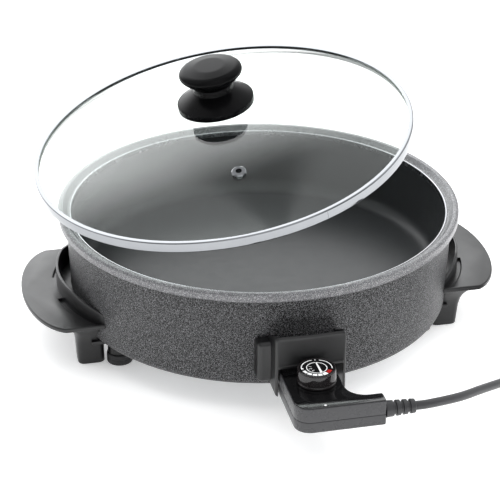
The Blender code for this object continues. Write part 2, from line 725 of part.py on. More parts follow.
def cover_glass():
    """Domed glass with a hole for the knob's screw and one for the vent."""
    edge = COVER_R - COVER_BAND_T - 0.0012
    radii = [GLASS_HOLE_R + (edge - GLASS_HOLE_R) * i / 9 for i in range(10)]
    upper = [(r, glass_top(r)) for r in radii]
    lower = [(r, glass_top(r) - GLASS_T) for r in reversed(radii)]
    glass = turned("cover_glass", upper + lower, GLASS, COVER)
    boolean(glass, vent_rod("hole", VENT_HOLE_R + GAP), 'DIFFERENCE')


def vent_frame():
    """Place and outward direction of the vent on the glass."""
    angle = math.radians(VENT_ANGLE_DEG)
    spot = Vector((VENT_RING_R * math.cos(angle), VENT_RING_R * math.sin(angle), glass_top(VENT_RING_R)))
    out = spot - Vector((0, 0, GLASS_APEX - glass_radius()))
    return spot, out.normalized()


def vent_rod(name, radius):
    """Round bar through the glass where the vent sits."""
    spot, out = vent_frame()
    return rod(name, spot - out * 0.012, spot + out * 0.008, radius, None, COVER, 16)


def steam_vent():
    """Steel eyelet riveted into the glass."""
    spot, out = vent_frame()
    top = 0.0014
    under = -GLASS_T - 0.0014
    flange = VENT_FLANGE_R
    tube_r = VENT_HOLE_R
    bore = 0.0028
    profile = [(bore, top), (flange - 0.0010, top), (flange, GAP + 0.0002), (tube_r, GAP + 0.0002),
               (tube_r, -GLASS_T - GAP - 0.0002), (flange, -GLASS_T - GAP - 0.0002), (flange - 0.0010, under),
               (bore, under)]
    turned("steam_vent", profile, POLISHED, COVER, SMALL_STEPS, spot, out)


def cover_band():
    """Polished steel band folded over and under the edge of the glass."""
    outer = COVER_R
    inner = COVER_R - COVER_BAND_T
    lip = inner - COVER_LIP
    high = COVER_BAND_H
    wall = COVER_BAND_T
    profile = [(lip, high), (outer - 0.0010, high), (outer, high - 0.0010), (outer, 0.0010), (outer - 0.0010, 0),
               (lip, 0), (lip, wall), (inner, wall), (inner, high - wall), (lip, high - wall)]
    turned("cover_band", profile, POLISHED, COVER)


def cover_seal():
    """Silicone ring between the glass and the bottom fold of the band."""
    inner = COVER_R - COVER_BAND_T - COVER_LIP + 0.0002
    outer = COVER_R - COVER_BAND_T - GAP
    low = COVER_BAND_T + GAP
    high = min(glass_top(inner), glass_top(outer)) - GLASS_T - GAP
    profile = [(inner, high), (outer, high), (outer, low), (inner, low)]
    turned("cover_seal", profile, SILICONE, COVER)


def knob():
    """Knob in two mouldings, with the screw, seal and washer that hold it on the glass."""
    seat = glass_top(KNOB_FLANGE_R) + GAP
    recess = glass_top(0) - seat + 0.0016 + GAP
    bore = KNOB_SCREW_R + GAP
    base = [(bore, KNOB_NECK_TOP), (KNOB_NECK_R - 0.0004, KNOB_NECK_TOP), (KNOB_NECK_R, 0.0160),
            (KNOB_NECK_R + 0.0012, 0.0150), (KNOB_FLANGE_R - 0.0012, KNOB_FLANGE_H + 0.0006),
            (KNOB_FLANGE_R, KNOB_FLANGE_H), (KNOB_FLANGE_R, 0), (KNOB_FLANGE_R - 0.0035, 0),
            (KNOB_FLANGE_R - 0.0060, recess), (bore, recess)]
    turned("knob_base", base, BAKELITE, COVER, 48, (0, 0, seat))
    cap_low = KNOB_NECK_TOP + GAP
    blind = KNOB_TOP - 0.0070
    cap = [(0, KNOB_TOP), (0.0120, KNOB_TOP - 0.0004), (0.0235, KNOB_TOP - 0.0019),
           (KNOB_CAP_R - 0.0010, KNOB_TOP - 0.0046), (KNOB_CAP_R, KNOB_TOP - 0.0074),
           (KNOB_CAP_R - 0.0012, KNOB_TOP - 0.0102), (0.0240, KNOB_TOP - 0.0145), (KNOB_NECK_R, cap_low),
           (bore, cap_low), (bore, blind), (0, blind)]
    turned("knob_cap", cap, BAKELITE, COVER, 48, (0, 0, seat))
    seal_low = glass_top(0) + GAP
    seal = [(GLASS_HOLE_R, seal_low + 0.0014), (KNOB_SEAL_R, seal_low + 0.0014), (KNOB_SEAL_R, seal_low),
            (GLASS_HOLE_R, seal_low)]
    turned("knob_seal", seal, SILICONE, COVER, SMALL_STEPS)
    under = glass_top(KNOB_SEAL_R) - GLASS_T - 0.0006
    washer = [(bore, under), (0.0090, under), (0.0090, under - 0.0010), (bore, under - 0.0010)]
    turned("knob_washer", washer, POLISHED, COVER, SMALL_STEPS)
    head_top = under - 0.0010 - GAP
    head_low = head_top - 0.0030
    tip = seat + blind - 0.0010
    screw = [(0, tip), (KNOB_SCREW_R, tip), (KNOB_SCREW_R, head_top), (0.0050, head_top),
             (0.0042, head_low), (0, head_low)]
    turned("knob_screw", screw, POLISHED, COVER, 16)


# ------------------------------------------------------------ temperature control
def case_outline(inset):
    """Plan of the control's case, moved in by an inset."""
    left = CASE_LEFT + inset
    neck = CASE_NECK_RIGHT - inset
    right = CASE_ARM_RIGHT - inset
    back = CASE_BACK - inset
    arm = CASE_ARM_BACK - inset
    front = CASE_FRONT + inset
    corner = CASE_FRONT_CORNER - inset
    small = max(CASE_END_CORNER - inset, 0.0004)
    back_corner = max(CASE_BACK_CORNER - inset, 0.0010)
    fillet = CASE_FILLET + inset
    points = arc(left + corner, front + corner, corner, 180, 270, 6)
    points += arc(right - small, front + small, small, 270, 360, 2)
    points += arc(right - small, arm - small, small, 0, 90, 2)
    points += arc(neck + fillet, arm + fillet, fillet, 270, 180, 7)
    points += arc(neck - back_corner, back - back_corner, back_corner, 0, 90, 3)
    points += arc(left + back_corner, back - back_corner, back_corner, 90, 180, 3)
    return points


def case_shell(name, low, high, floor_low, floor_high):
    """Open moulding of the case: an outer block with its inside taken out."""
    shell = plate(name, [case_outline(0)], low, high, CASE, CONTROL)
    shell.data.materials.append(CASE)
    room = plate("room", [case_outline(CASE_WALL)], floor_low, floor_high, None, CONTROL)
    boolean(shell, room, 'DIFFERENCE')
    for x in (-TERMINAL_X, TERMINAL_X):
        cut_along_y(shell, x, ELEMENT_Z, CONTACT_OUT_R + GAP, CASE_BACK - 0.006, CASE_BACK + 0.004)
    cut_along_y(shell, 0, ELEMENT_Z, PROBE_R + GAP, CASE_BACK - 0.006, CASE_BACK + 0.004)
    end = rod("hole", (CASE_ARM_RIGHT - 0.006, RELIEF_Y, RELIEF_Z), (CASE_ARM_RIGHT + 0.004, RELIEF_Y, RELIEF_Z),
              RELIEF_TAIL_R + GAP, None, CONTROL, 20)
    boolean(shell, end, 'DIFFERENCE')
    return shell


def cut_along_y(piece, x, z, radius, start, end):
    """Round hole along Y in a piece of the control."""
    cutter = rod("hole", (x, start, z), (x, end, z), radius, None, CONTROL, 16)
    boolean(piece, cutter, 'DIFFERENCE')


def control_case():
    """Lower shell, upper shell with a recess, and the glossy plate that lies in it."""
    case_shell("control_base", CASE_LOW, CASE_SPLIT, CASE_LOW + CASE_WALL, CASE_SPLIT + 0.001)
    roof = CASE_TOP - FASCIA_T - GAP
    cover = case_shell("control_cover", CASE_SPLIT + GAP, CASE_HIGH, CASE_SPLIT - 0.001, roof - CASE_WALL)
    recess = plate("recess", [case_outline(FASCIA_INSET)], roof, CASE_HIGH + 0.004, None, CONTROL)
    boolean(cover, recess, 'DIFFERENCE')
    fascia = plate("control_fascia", [case_outline(FASCIA_INSET + GAP)], CASE_TOP - FASCIA_T, CASE_TOP,
                   GLOSSY, CONTROL)
    fascia.data.materials.append(GLOSSY)
    for piece in (cover, fascia):
        hole = rod("hole", (0, DIAL_Y, CASE_LOW + 0.005), (0, DIAL_Y, CASE_TOP + 0.005), DIAL_SHAFT_R + GAP, None,
                   CONTROL, 16)
        boolean(piece, hole, 'DIFFERENCE')


def probe():
    """Probe rod held in a block, with two contact sleeves that take the terminals."""
    rod("probe_rod", (0, PROBE_END_Y, ELEMENT_Z), (0, PROBE_TIP_Y, ELEMENT_Z), PROBE_R, POLISHED, CONTROL, 16)
    for side, word in ((-1, "left"), (1, "right")):
        sleeve("contact_" + word, (side * TERMINAL_X, 0, ELEMENT_Z), CONTACT_FRONT_Y, CONTACT_BACK_Y,
               BUSH_IN_R, CONTACT_OUT_R, BRASS, CONTROL)
    low = (-0.0190, PROBE_END_Y - 0.0050, CASE_LOW + CASE_WALL + GAP)
    high = (0.0190, CONTACT_FRONT_Y - GAP, CASE_TOP - FASCIA_T - CASE_WALL - 2 * GAP)
    block = box("contact_block", low, high, CERAMIC, CONTROL)
    cut_along_y(block, 0, ELEMENT_Z, PROBE_R + GAP, PROBE_END_Y - GAP, -0.19)


def switch():
    """Thermostat switch, bimetal strip and pilot lamp inside the case."""
    floor_z = CASE_LOW + CASE_WALL + GAP
    box("thermostat_switch", (-0.0100, -0.2400, floor_z), (0.0100, -0.2220, 0.0470), CERAMIC, CONTROL, 0.0008, 1)
    box("bimetal_strip", (-0.0030, -0.2400, 0.0478), (0.0030, -0.2190, 0.0484), BRASS, CONTROL)
    rod("pilot_lamp", (-0.0180, -0.2500, floor_z), (-0.0180, -0.2500, 0.0500), 0.0030, LAMP, CONTROL, 16)


def case_screws():
    """Screws that close the case from below."""
    spots = ((-0.0215, -0.2620), (-0.0225, -0.2010))
    for number, (x, y) in enumerate(spots, 1):
        low = CASE_LOW + CASE_WALL + GAP
        rod("case_screw_%d" % number, (x, y, low), (x, y, 0.0500), 0.0014, NICKEL, CONTROL, 12)


def dial():
    """Dial on its shaft, with a printed disc let into its top."""
    low = GAP
    top = DIAL_H
    seat = top - 0.0012
    body = [(0, seat), (DIAL_LABEL_R + GAP, seat), (DIAL_LABEL_R + GAP, top), (DIAL_R - 0.0010, top),
            (DIAL_R, top - 0.0012), (DIAL_R, 0.0014), (DIAL_R - 0.0008, low), (DIAL_SHAFT_R + GAP, low),
            (DIAL_SHAFT_R + GAP, 0.0060), (0, 0.0060)]
    turned("dial", body, SMOKED, DIAL, 48)
    disc = [(0, top - 0.0002), (DIAL_LABEL_R, top - 0.0002), (DIAL_LABEL_R, seat + GAP), (0, seat + GAP)]
    turned("dial_disc", disc, GLOSSY, DIAL, 36)
    reach = CASE_TOP - 0.0490
    rod("dial_shaft", (0, 0, -reach), (0, 0, 0.0056), DIAL_SHAFT_R, NICKEL, DIAL, 16)


def strain_relief():
    """Tapered, grooved sleeve where the cord leaves the control."""
    length = RELIEF_LENGTH
    start = 0.0004
    profile = [(0, length), (RELIEF_TIP_R - 0.0008, length), (RELIEF_TIP_R, length - 0.0010)]
    for i in range(3):
        at = length - 0.0055 - 0.0060 * i
        r = RELIEF_TIP_R + (RELIEF_R - RELIEF_TIP_R) * (1 - at / length)
        profile += [(r, at + 0.0010), (r - 0.0014, at + 0.0007), (r - 0.0014, at - 0.0007), (r, at - 0.0010)]
    profile += [(RELIEF_R, start), (RELIEF_TAIL_R, start), (RELIEF_TAIL_R, -CASE_WALL - 0.0004),
                (RELIEF_TAIL_R + 0.0007, -CASE_WALL - 0.0004), (RELIEF_TAIL_R + 0.0007, -CASE_WALL - 0.0030),
                (0, -CASE_WALL - 0.0030)]
    turned("strain_relief", profile, RUBBER, CONTROL, 20, (CASE_ARM_RIGHT, RELIEF_Y, RELIEF_Z), (1, 0, 0))


def cord():
    """Free stretch of the cord, the round coil with its tie, and the plug."""
    tube("power_cord", smooth_route(CORD_ROUTE, CORD_STEP), CORD_R, CORD_BLACK, CONTROL)
    inner = COIL_TURN_R - 2 * CORD_R - GAP
    outer = COIL_TURN_R + 2 * CORD_R + GAP
    low = COIL_LIFT
    high = COIL_LIFT + 4 * CORD_R
    soft = 0.0030
    ring = [(inner + soft, high), (outer - soft, high), (outer, high - soft), (outer, low + soft),
            (outer - soft, low), (inner + soft, low), (inner, low + soft), (inner, high - soft)]
    turned("cord_coil", ring, CORD_BLACK, CONTROL, 36, (COIL_X, COIL_Y, 0))
    room_low = Vector((-TIE_W / 2 - 0.01, COIL_TURN_R - 2 * CORD_R - 0.0014, low - GAP))
    room_high = Vector((TIE_W / 2 + 0.01, COIL_TURN_R + 2 * CORD_R + 2 * GAP, high + GAP))
    wall = Vector((0, TIE_T, TIE_T))
    tie_low = room_low - wall
    tie_high = room_high + wall
    tie_low.x = -TIE_W / 2
    tie_high.x = TIE_W / 2
    shift = Vector((COIL_X, COIL_Y, 0))
    tie = box("cord_tie", tie_low + shift, tie_high + shift, TIE, CONTROL)
    boolean(tie, box("room", room_low + shift, room_high + shift, None, CONTROL), 'DIFFERENCE')


def plug():
    """Round two-pin plug that lies beside the coil, its pins along -Y."""
    z = PLUG_R
    body_y = PLUG_BOOT_L
    end = PLUG_BOOT_L + PLUG_BODY_L
    profile = [(0, end), (PLUG_R - 0.0015, end), (PLUG_R, end - 0.0015), (PLUG_R, body_y + 0.0100),
               (PLUG_R * 0.80, body_y + 0.0030), (0.0075, body_y - 0.0020), (0.0056, 0), (0, 0)]
    turned("plug_body", profile, RUBBER, CONTROL, SMALL_STEPS, (PLUG_X, PLUG_TIP_Y, z), (0, -1, 0))
    for side, word in ((-1, "left"), (1, "right")):
        x = PLUG_X + side * PLUG_PIN_PITCH / 2
        face = PLUG_TIP_Y - end - GAP
        rod("plug_pin_" + word, (x, face, z), (x, face - PLUG_PIN_L, z), PLUG_PIN_R, NICKEL, CONTROL, 16)


# ------------------------------------------------------------ assembly
def empty(name, place, parent=None):
    """Empty that carries one moving body."""
    marker = bpy.data.objects.new(name, None)
    PARTS.objects.link(marker)
    marker.location = place
    marker.parent = parent
    return marker


clear_scene()
PARTS = new_collection("electric_griddle")
CUTTERS = new_collection("cutters")

CAST = material("cast_aluminium", (0.085, 0.085, 0.088), 0.50, 0.3)
STEEL = material("plated_steel", (0.55, 0.55, 0.56), 0.38, 1.0)
POLISHED = material("polished_steel", (0.80, 0.80, 0.81), 0.12, 1.0)
NICKEL = material("nickel_plate", (0.70, 0.68, 0.64), 0.25, 1.0)
BRASS = material("brass", (0.78, 0.60, 0.30), 0.30, 1.0)
CERAMIC = material("ceramic", (0.80, 0.78, 0.72), 0.60)
BAKELITE = material("black_bakelite", (0.030, 0.030, 0.032), 0.45)
RUBBER = material("black_rubber", (0.045, 0.045, 0.047), 0.65)
SILICONE = material("silicone", (0.60, 0.60, 0.60), 0.50)
GLASS = material("cover_glass", (0.90, 0.93, 0.93), 0.05, 0.0, 0.30)
CASE = material("control_case", (0.060, 0.060, 0.062), 0.38)
GLOSSY = material("glossy_black", (0.012, 0.012, 0.013), 0.10)
SMOKED = material("smoked_dial", (0.035, 0.033, 0.034), 0.12)
LAMP = material("lamp_glass", (0.90, 0.35, 0.15), 0.10)
CORD_BLACK = material("cord_black", (0.055, 0.055, 0.058), 0.50)
TIE = material("tie_strap", (0.05, 0.05, 0.05), 0.80)

BASE = empty("base_frame", (0, PAN_Y, 0))
COVER_HINGE = empty("cover_hinge", SWING_POINT, BASE)
COVER_HINGE.rotation_mode = 'QUATERNION'
COVER_HINGE.rotation_quaternion = SWING_TURN
COVER = empty("cover_frame", Vector((0, 0, COVER_SEAT)) - Vector(SWING_POINT), COVER_HINGE)
CONTROL = empty("control_frame", (0, 0, 0), BASE)
DIAL = empty("dial_axis", (0, DIAL_Y, CASE_TOP), CONTROL)

pan_body()
heating_element()
terminals()
element_clips()
base_plate()
feet()
handle(-1, "left")
handle(1, "right")
probe_guard()
cover_glass()
cover_band()
cover_seal()
steam_vent()
knob()
control_case()
probe()
switch()
case_screws()
dial()
strain_relief()
cord()
plug()
bpy.context.view_layer.update()
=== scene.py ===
"""Looks of a round electric griddle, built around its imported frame.

The pan stands on the floor with its axis upright. The plug-in control is at
-Y, the two handles stand out along X, and the glass cover is held above the
pan, a little tilted. All sizes are in metres.
"""
from __future__ import annotations

import json
import logging
import math
from dataclasses import dataclass
from enum import Enum
from typing import Any, Callable, Sequence

import bmesh
import bpy
from mathutils import Matrix, Quaternion, Vector


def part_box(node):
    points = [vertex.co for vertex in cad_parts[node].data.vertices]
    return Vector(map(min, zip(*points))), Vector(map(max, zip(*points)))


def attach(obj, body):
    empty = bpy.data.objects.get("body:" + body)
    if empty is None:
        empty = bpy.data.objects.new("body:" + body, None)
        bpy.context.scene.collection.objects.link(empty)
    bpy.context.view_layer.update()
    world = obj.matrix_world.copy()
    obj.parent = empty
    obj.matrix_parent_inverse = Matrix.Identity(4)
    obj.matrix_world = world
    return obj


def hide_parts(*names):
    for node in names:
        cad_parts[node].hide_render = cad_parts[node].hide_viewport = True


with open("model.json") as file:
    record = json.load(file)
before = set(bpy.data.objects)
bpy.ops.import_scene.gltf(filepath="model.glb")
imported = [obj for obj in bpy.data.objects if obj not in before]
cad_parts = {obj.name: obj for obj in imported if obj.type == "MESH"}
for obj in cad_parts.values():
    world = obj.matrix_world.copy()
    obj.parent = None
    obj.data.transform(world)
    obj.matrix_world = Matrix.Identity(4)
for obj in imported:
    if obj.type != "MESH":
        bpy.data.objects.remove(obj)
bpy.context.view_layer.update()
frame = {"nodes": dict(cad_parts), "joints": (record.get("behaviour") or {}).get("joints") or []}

LOG = logging.getLogger("griddle")
Point = tuple[float, float]
Place = tuple[float, float, float]
Piece = bpy.types.Object

# Lays an outline drawn in Y and Z along X.
ALONG_X = Matrix(((0, 0, 1, 0), (1, 0, 0, 0), (0, 1, 0, 0), (0, 0, 0, 1)))


# ------------------------------------------------------------------ bench
class Join(Enum):
    """How one solid meets another."""

    ADD = "UNION"
    CUT = "DIFFERENCE"


class Body(Enum):
    """Rigid bodies of the griddle that a piece can ride on."""

    PAN = "pan"
    COVER = "cover"
    CONTROL = "control"
    DIAL = "dial"


def deselect() -> None:
    """Leave edit mode and clear the selection."""
    if bpy.context.object and bpy.context.object.mode != 'OBJECT':
        bpy.ops.object.mode_set(mode='OBJECT')
    bpy.ops.object.select_all(action='DESELECT')


def pick(piece: Piece) -> None:
    """Select one piece alone and make it active."""
    deselect()
    piece.select_set(True)
    bpy.context.view_layer.objects.active = piece


def select_edges(test: Callable[[Vector, Vector], bool]) -> None:
    """Select the edges of the piece in edit mode whose two ends pass a test.

    Args:
        test: takes both ends of an edge and says if it is wanted.
    """
    mesh = bmesh.from_edit_mesh(bpy.context.object.data)
    for item in (*mesh.verts, *mesh.edges, *mesh.faces):
        item.select = False
    for edge in mesh.edges:
        if test(edge.verts[0].co, edge.verts[1].co):
            edge.select_set(True)
    bmesh.update_edit_mesh(bpy.context.object.data)


def select_ring(numbers: range) -> None:
    """Select vertices of the piece in edit mode by their numbers, and the edges between them."""
    mesh = bmesh.from_edit_mesh(bpy.context.object.data)
    mesh.verts.ensure_lookup_table()
    for item in (*mesh.verts, *mesh.edges, *mesh.faces):
        item.select = False
    wanted = {mesh.verts[number] for number in numbers}
    for vert in wanted:
        vert.select = True
    for edge in mesh.edges:
        edge.select = edge.verts[0] in wanted and edge.verts[1] in wanted
    bmesh.update_edit_mesh(bpy.context.object.data)


def arc(cx: float, cy: float, radius: float, start: float, end: float, steps: int) -> list[Point]:
    """Points of an arc, angles in degrees, both ends included."""
    angles = [math.radians(start + (end - start) * i / steps) for i in range(steps + 1)]
    return [(cx + radius * math.cos(a), cy + radius * math.sin(a)) for a in angles]


def softened(corners: Sequence[Place], closed: bool = False, steps: int = 4) -> list[Point]:
    """Round the corners of a line of straight stretches.

    Args:
        corners: first and second coordinate of each corner, and its radius.
        closed: whether the last corner joins the first.
        steps: facets in each rounded corner.

    Returns:
        The points of the rounded line.
    """
    points: list[Point] = []
    count = len(corners)
    for i, (x, y, radius) in enumerate(corners):
        at_end = not closed and i in (0, count - 1)
        if at_end or radius <= 0:
            points.append((x, y))
            continue
        here = Vector((x, y))
        to_last = (Vector(corners[i - 1][:2]) - here).normalized()
        to_next = (Vector(corners[(i + 1) % count][:2]) - here).normalized()
        half = to_last.angle(to_next) / 2
        if half > math.radians(89.5):
            points.append((x, y))
            continue
        centre = here + (to_last + to_next).normalized() * radius / math.sin(half)
        first = here + to_last * radius / math.tan(half) - centre
        last = here + to_next * radius / math.tan(half) - centre
        sweep = first.angle_signed(last)
        for step in range(steps + 1):
            turn = -sweep * step / steps
            c, s = math.cos(turn), math.sin(turn)
            points.append((centre.x + c * first.x - s * first.y, centre.y + s * first.x + c * first.y))
    return points


def settled(piece: Piece, name: str) -> Piece:
    """Close a new piece: doubles merged, faces outwards, origin at the world's.

    Args:
        piece: the active piece, in any mode.
        name: the piece's new name.

    Returns:
        The same piece, in object mode.
    """
    pick(piece)
    bpy.ops.object.mode_set(mode='EDIT')
    bpy.ops.mesh.select_all(action='SELECT')
    bpy.ops.mesh.remove_doubles(threshold=0.000005)
    bpy.ops.mesh.normals_make_consistent(inside=False)
    bpy.ops.object.mode_set(mode='OBJECT')
    bpy.ops.object.transform_apply(location=True, rotation=True, scale=True)
    piece.name = name
    piece.data.name = name
    return piece


def turned(name: str, rings: Sequence[Point], count: int = 128) -> Piece:
    """Turn a piece about Z ring by ring, as on a lathe.

    Args:
        name: the piece's name.
        rings: radius and height of each ring. A line that starts and ends on
            the axis gives a solid, any other is closed on itself as a ring.
        count: facets round the piece.

    Returns:
        The turned piece.
    """
    solid = rings[0][0] == 0 and rings[-1][0] == 0
    line = list(rings[1:-1]) if solid else list(rings)
    radius, height = line[0]
    deselect()
    bpy.ops.mesh.primitive_circle_add(vertices=count, radius=radius, location=(0, 0, height))
    piece = bpy.context.object
    bpy.ops.object.mode_set(mode='EDIT')
    bpy.ops.mesh.select_all(action='SELECT')
    for (last_radius, last_height), (radius, height) in zip(line, line[1:]):
        bpy.ops.mesh.extrude_region_move(TRANSFORM_OT_translate={"value": (0, 0, height - last_height)})
        share = radius / last_radius
        bpy.ops.transform.resize(value=(share, share, 1), center_override=(0, 0, 0))
    total = count * len(line)
    if solid:
        drop = rings[-1][1] - line[-1][1]
        bpy.ops.mesh.extrude_region_move(TRANSFORM_OT_translate={"value": (0, 0, drop)})
        bpy.ops.mesh.merge(type='CENTER')
        select_ring(range(count))
        drop = rings[0][1] - line[0][1]
        bpy.ops.mesh.extrude_region_move(TRANSFORM_OT_translate={"value": (0, 0, drop)})
        bpy.ops.mesh.merge(type='CENTER')
    else:
        select_ring(range(count))
        mesh = bmesh.from_edit_mesh(piece.data)
        mesh.verts.ensure_lookup_table()
        ends = {mesh.verts[number] for number in (*range(count), *range(total - count, total))}
        for edge in mesh.edges:
            edge.select_set(edge.is_boundary and edge.verts[0] in ends)
        bmesh.update_edit_mesh(piece.data)
        bpy.ops.mesh.bridge_edge_loops()
    return settled(piece, name)


def slab(name: str, outline: Sequence[Point], low: float, high: float, edge: float = 0.0,
         segments: int = 3) -> Piece:
    """Flat piece with an outline, its upper and lower edges rounded.

    Args:
        name: the piece's name.
        outline: points round the piece.
        low: height of its underside.
        high: height of its top.
        edge: radius of the rounded edges.
        segments: facets in a rounded edge.

    Returns:
        The piece.
    """
    deselect()
    bpy.ops.mesh.primitive_circle_add(vertices=len(outline), radius=1.0, fill_type='NGON')
    piece = bpy.context.object
    for vert, (x, y) in zip(piece.data.vertices, outline):
        vert.co = (x, y, low)
    bpy.ops.object.mode_set(mode='EDIT')
    bpy.ops.mesh.select_all(action='SELECT')
    bpy.ops.mesh.extrude_region_move(TRANSFORM_OT_translate={"value": (0, 0, high - low)})
    if edge:
        bpy.ops.mesh.select_mode(type='EDGE')
        select_edges(lambda a, b: abs(a.z - b.z) < 1e-6)
        bpy.ops.mesh.bevel(offset=edge, segments=segments, affect='EDGES')
    return settled(piece, name)


def block(name: str, low: Sequence[float], high: Sequence[float], edge: float = 0.0,
          segments: int = 3) -> Piece:
    """Box between two corners with rounded edges."""
    centre = [(a + b) / 2 for a, b in zip(low, high)]
    deselect()
    bpy.ops.mesh.primitive_cube_add(size=1, location=centre)
    piece = bpy.context.object
    piece.scale = [b - a for a, b in zip(low, high)]
    bpy.ops.object.transform_apply(location=True, rotation=True, scale=True)
    if edge:
        bpy.ops.object.mode_set(mode='EDIT')
        bpy.ops.mesh.select_all(action='SELECT')
        bpy.ops.mesh.bevel(offset=edge, segments=segments, affect='EDGES')
    return settled(piece, name)


def bar(name: str, start: Sequence[float], end: Sequence[float], radius: float, count: int = 32) -> Piece:
    """Round bar between two points, used for holes and pins."""
    along = Vector(end) - Vector(start)
    turn = Vector((0, 0, 1)).rotation_difference(along)
    deselect()
    bpy.ops.mesh.primitive_cylinder_add(vertices=count, radius=radius, depth=along.length,
                                        location=(Vector(start) + Vector(end)) / 2, rotation=turn.to_euler())
    return settled(bpy.context.object, name)


def lofted(name: str, sections: Sequence[Sequence[Place]]) -> Piece:
    """Solid drawn up through sections with the same number of points.

    Args:
        name: the piece's name.
        sections: points of each section, from the bottom up.

    Returns:
        The piece.
    """
    deselect()
    bpy.ops.mesh.primitive_circle_add(vertices=len(sections[0]), radius=1.0, fill_type='NGON')
    piece = bpy.context.object
    for vert, place in zip(piece.data.vertices, sections[0]):
        vert.co = place
    bpy.ops.object.mode_set(mode='EDIT')
    bpy.ops.mesh.select_all(action='SELECT')
    for last, section in zip(sections, sections[1:]):
        bpy.ops.mesh.extrude_region_move(TRANSFORM_OT_translate={"value": (0, 0, 0)})
        mesh = bmesh.from_edit_mesh(piece.data)
        moved = [vert for vert in mesh.verts if vert.select]
        for vert in moved:
            nearest = min(range(len(last)), key=lambda i: (Vector(last[i]) - vert.co).length_squared)
            vert.co = section[nearest]
        bmesh.update_edit_mesh(piece.data)
    return settled(piece, name)


def combined(piece: Piece, other: Piece, how: Join) -> None:
    """Add a solid to a piece, or cut it out of the piece, and use it up."""
    step = piece.modifiers.new(how.name, 'BOOLEAN')
    step.operation = how.value
    step.solver = 'EXACT'
    step.object = other
    pick(piece)
    bpy.ops.object.modifier_apply(modifier=step.name)
    bpy.data.objects.remove(other, do_unlink=True)


def edge_softened(piece: Piece, width: float, segments: int = 2, angle: float = 40.0) -> None:
    """Round the sharp edges of a finished shape with an applied bevel."""
    step = piece.modifiers.new("Edge", 'BEVEL')
    step.width = width
    step.segments = segments
    step.limit_method = 'ANGLE'
    step.angle_limit = math.radians(angle)
    step.harden_normals = False
    pick(piece)
    bpy.ops.object.modifier_apply(modifier=step.name)


def moved(piece: Piece, matrix: Matrix) -> Piece:
    """Carry a piece's mesh to its place."""
    piece.data.transform(matrix)
    return piece


# ------------------------------------------------------------------ finishes
def linear(hex_colour: str) -> tuple[float, float, float, float]:
    """Linear colour of an sRGB hex value such as '#303030'."""
    parts = [int(hex_colour[i:i + 2], 16) / 255 for i in (1, 3, 5)]
    values = [p / 12.92 if p <= 0.04045 else ((p + 0.055) / 1.055) ** 2.4 for p in parts]
    return values[0], values[1], values[2], 1.0


def node(tree: bpy.types.NodeTree, kind: str, settings: dict[str, Any] | None = None,
         inputs: dict[Any, Any] | None = None) -> bpy.types.Node:
    """Add a node with its settings and its inputs.

    Args:
        tree: the material's node tree.
        kind: the node's type.
        settings: attributes to set.
        inputs: a value or a socket to link from, by input name or number.

    Returns:
        The new node.
    """
    made = tree.nodes.new(kind)
    for key, value in (settings or {}).items():
        setattr(made, key, value)
    for key, value in (inputs or {}).items():
        if isinstance(value, bpy.types.NodeSocket):
            tree.links.new(value, made.inputs[key])
        else:
            made.inputs[key].default_value = value
    return made


def per_metre(size_mm: float) -> float:
    """Pattern scale, in cells per metre, of a cell of a real size."""
    return 1000.0 / size_mm


@dataclass(frozen=True)
class Finish:
    """A finish with a fine mottle in its colour and gloss and a fine grain.

    Args:
        name: common name of the material and how it was made.
        light: colour where the mottle is lightest.
        dark: colour where it is darkest.
        gloss: lowest and highest roughness.
        mottle_mm: size of the mottle.
        grain_mm: size of the surface grain.
        grain_depth_mm: height of the grain.
        metallic: 1 for a bare metal.
        coat: clear top layer.
        specular: level of the plain reflection.
    """

    name: str
    light: str
    dark: str
    gloss: tuple[float, float] = (0.40, 0.50)
    mottle_mm: float = 12.0
    grain_mm: float = 0.8
    grain_depth_mm: float = 0.02
    metallic: float = 0.0
    coat: float = 0.0
    specular: float = 0.5

    def build(self) -> bpy.types.Material:
        """Material of this finish, made once and then shared."""
        if self.name in bpy.data.materials:
            return bpy.data.materials[self.name]
        mat = bpy.data.materials.new(self.name)
        mat.use_nodes = True
        tree = mat.node_tree
        shader = tree.nodes["Principled BSDF"]
        shader.inputs["Metallic"].default_value = self.metallic
        shader.inputs["Coat Weight"].default_value = self.coat
        shader.inputs["Coat Roughness"].default_value = 0.06
        shader.inputs["Specular IOR Level"].default_value = self.specular
        self.paint(tree, shader)
        mat.diffuse_color = linear(self.light)
        return mat

    def paint(self, tree: bpy.types.NodeTree, shader: bpy.types.Node) -> None:
        """Link the mottle to colour and gloss and the grain to the normal."""
        place = node(tree, "ShaderNodeTexCoord").outputs["Object"]
        mottle = node(tree, "ShaderNodeTexNoise", inputs={
            "Vector": place, "Scale": per_metre(self.mottle_mm), "Detail": 4.0, "Roughness": 0.6})
        colour = node(tree, "ShaderNodeMix", {"data_type": 'RGBA'}, {
            0: mottle.outputs[0], 6: linear(self.dark), 7: linear(self.light)})
        gloss = node(tree, "ShaderNodeMapRange", inputs={
            "Value": mottle.outputs[0], "From Min": 0.3, "From Max": 0.7, "To Min": self.gloss[0],
            "To Max": self.gloss[1]})
        grain = node(tree, "ShaderNodeTexNoise", inputs={
            "Vector": place, "Scale": per_metre(self.grain_mm), "Detail": 2.0})
        bump = node(tree, "ShaderNodeBump", inputs={
            "Height": grain.outputs[0], "Strength": 0.6, "Distance": self.grain_depth_mm / 1000})
        tree.links.new(colour.outputs[2], shader.inputs["Base Color"])
        tree.links.new(gloss.outputs[0], shader.inputs["Roughness"])
        tree.links.new(bump.outputs[0], shader.inputs["Normal"])


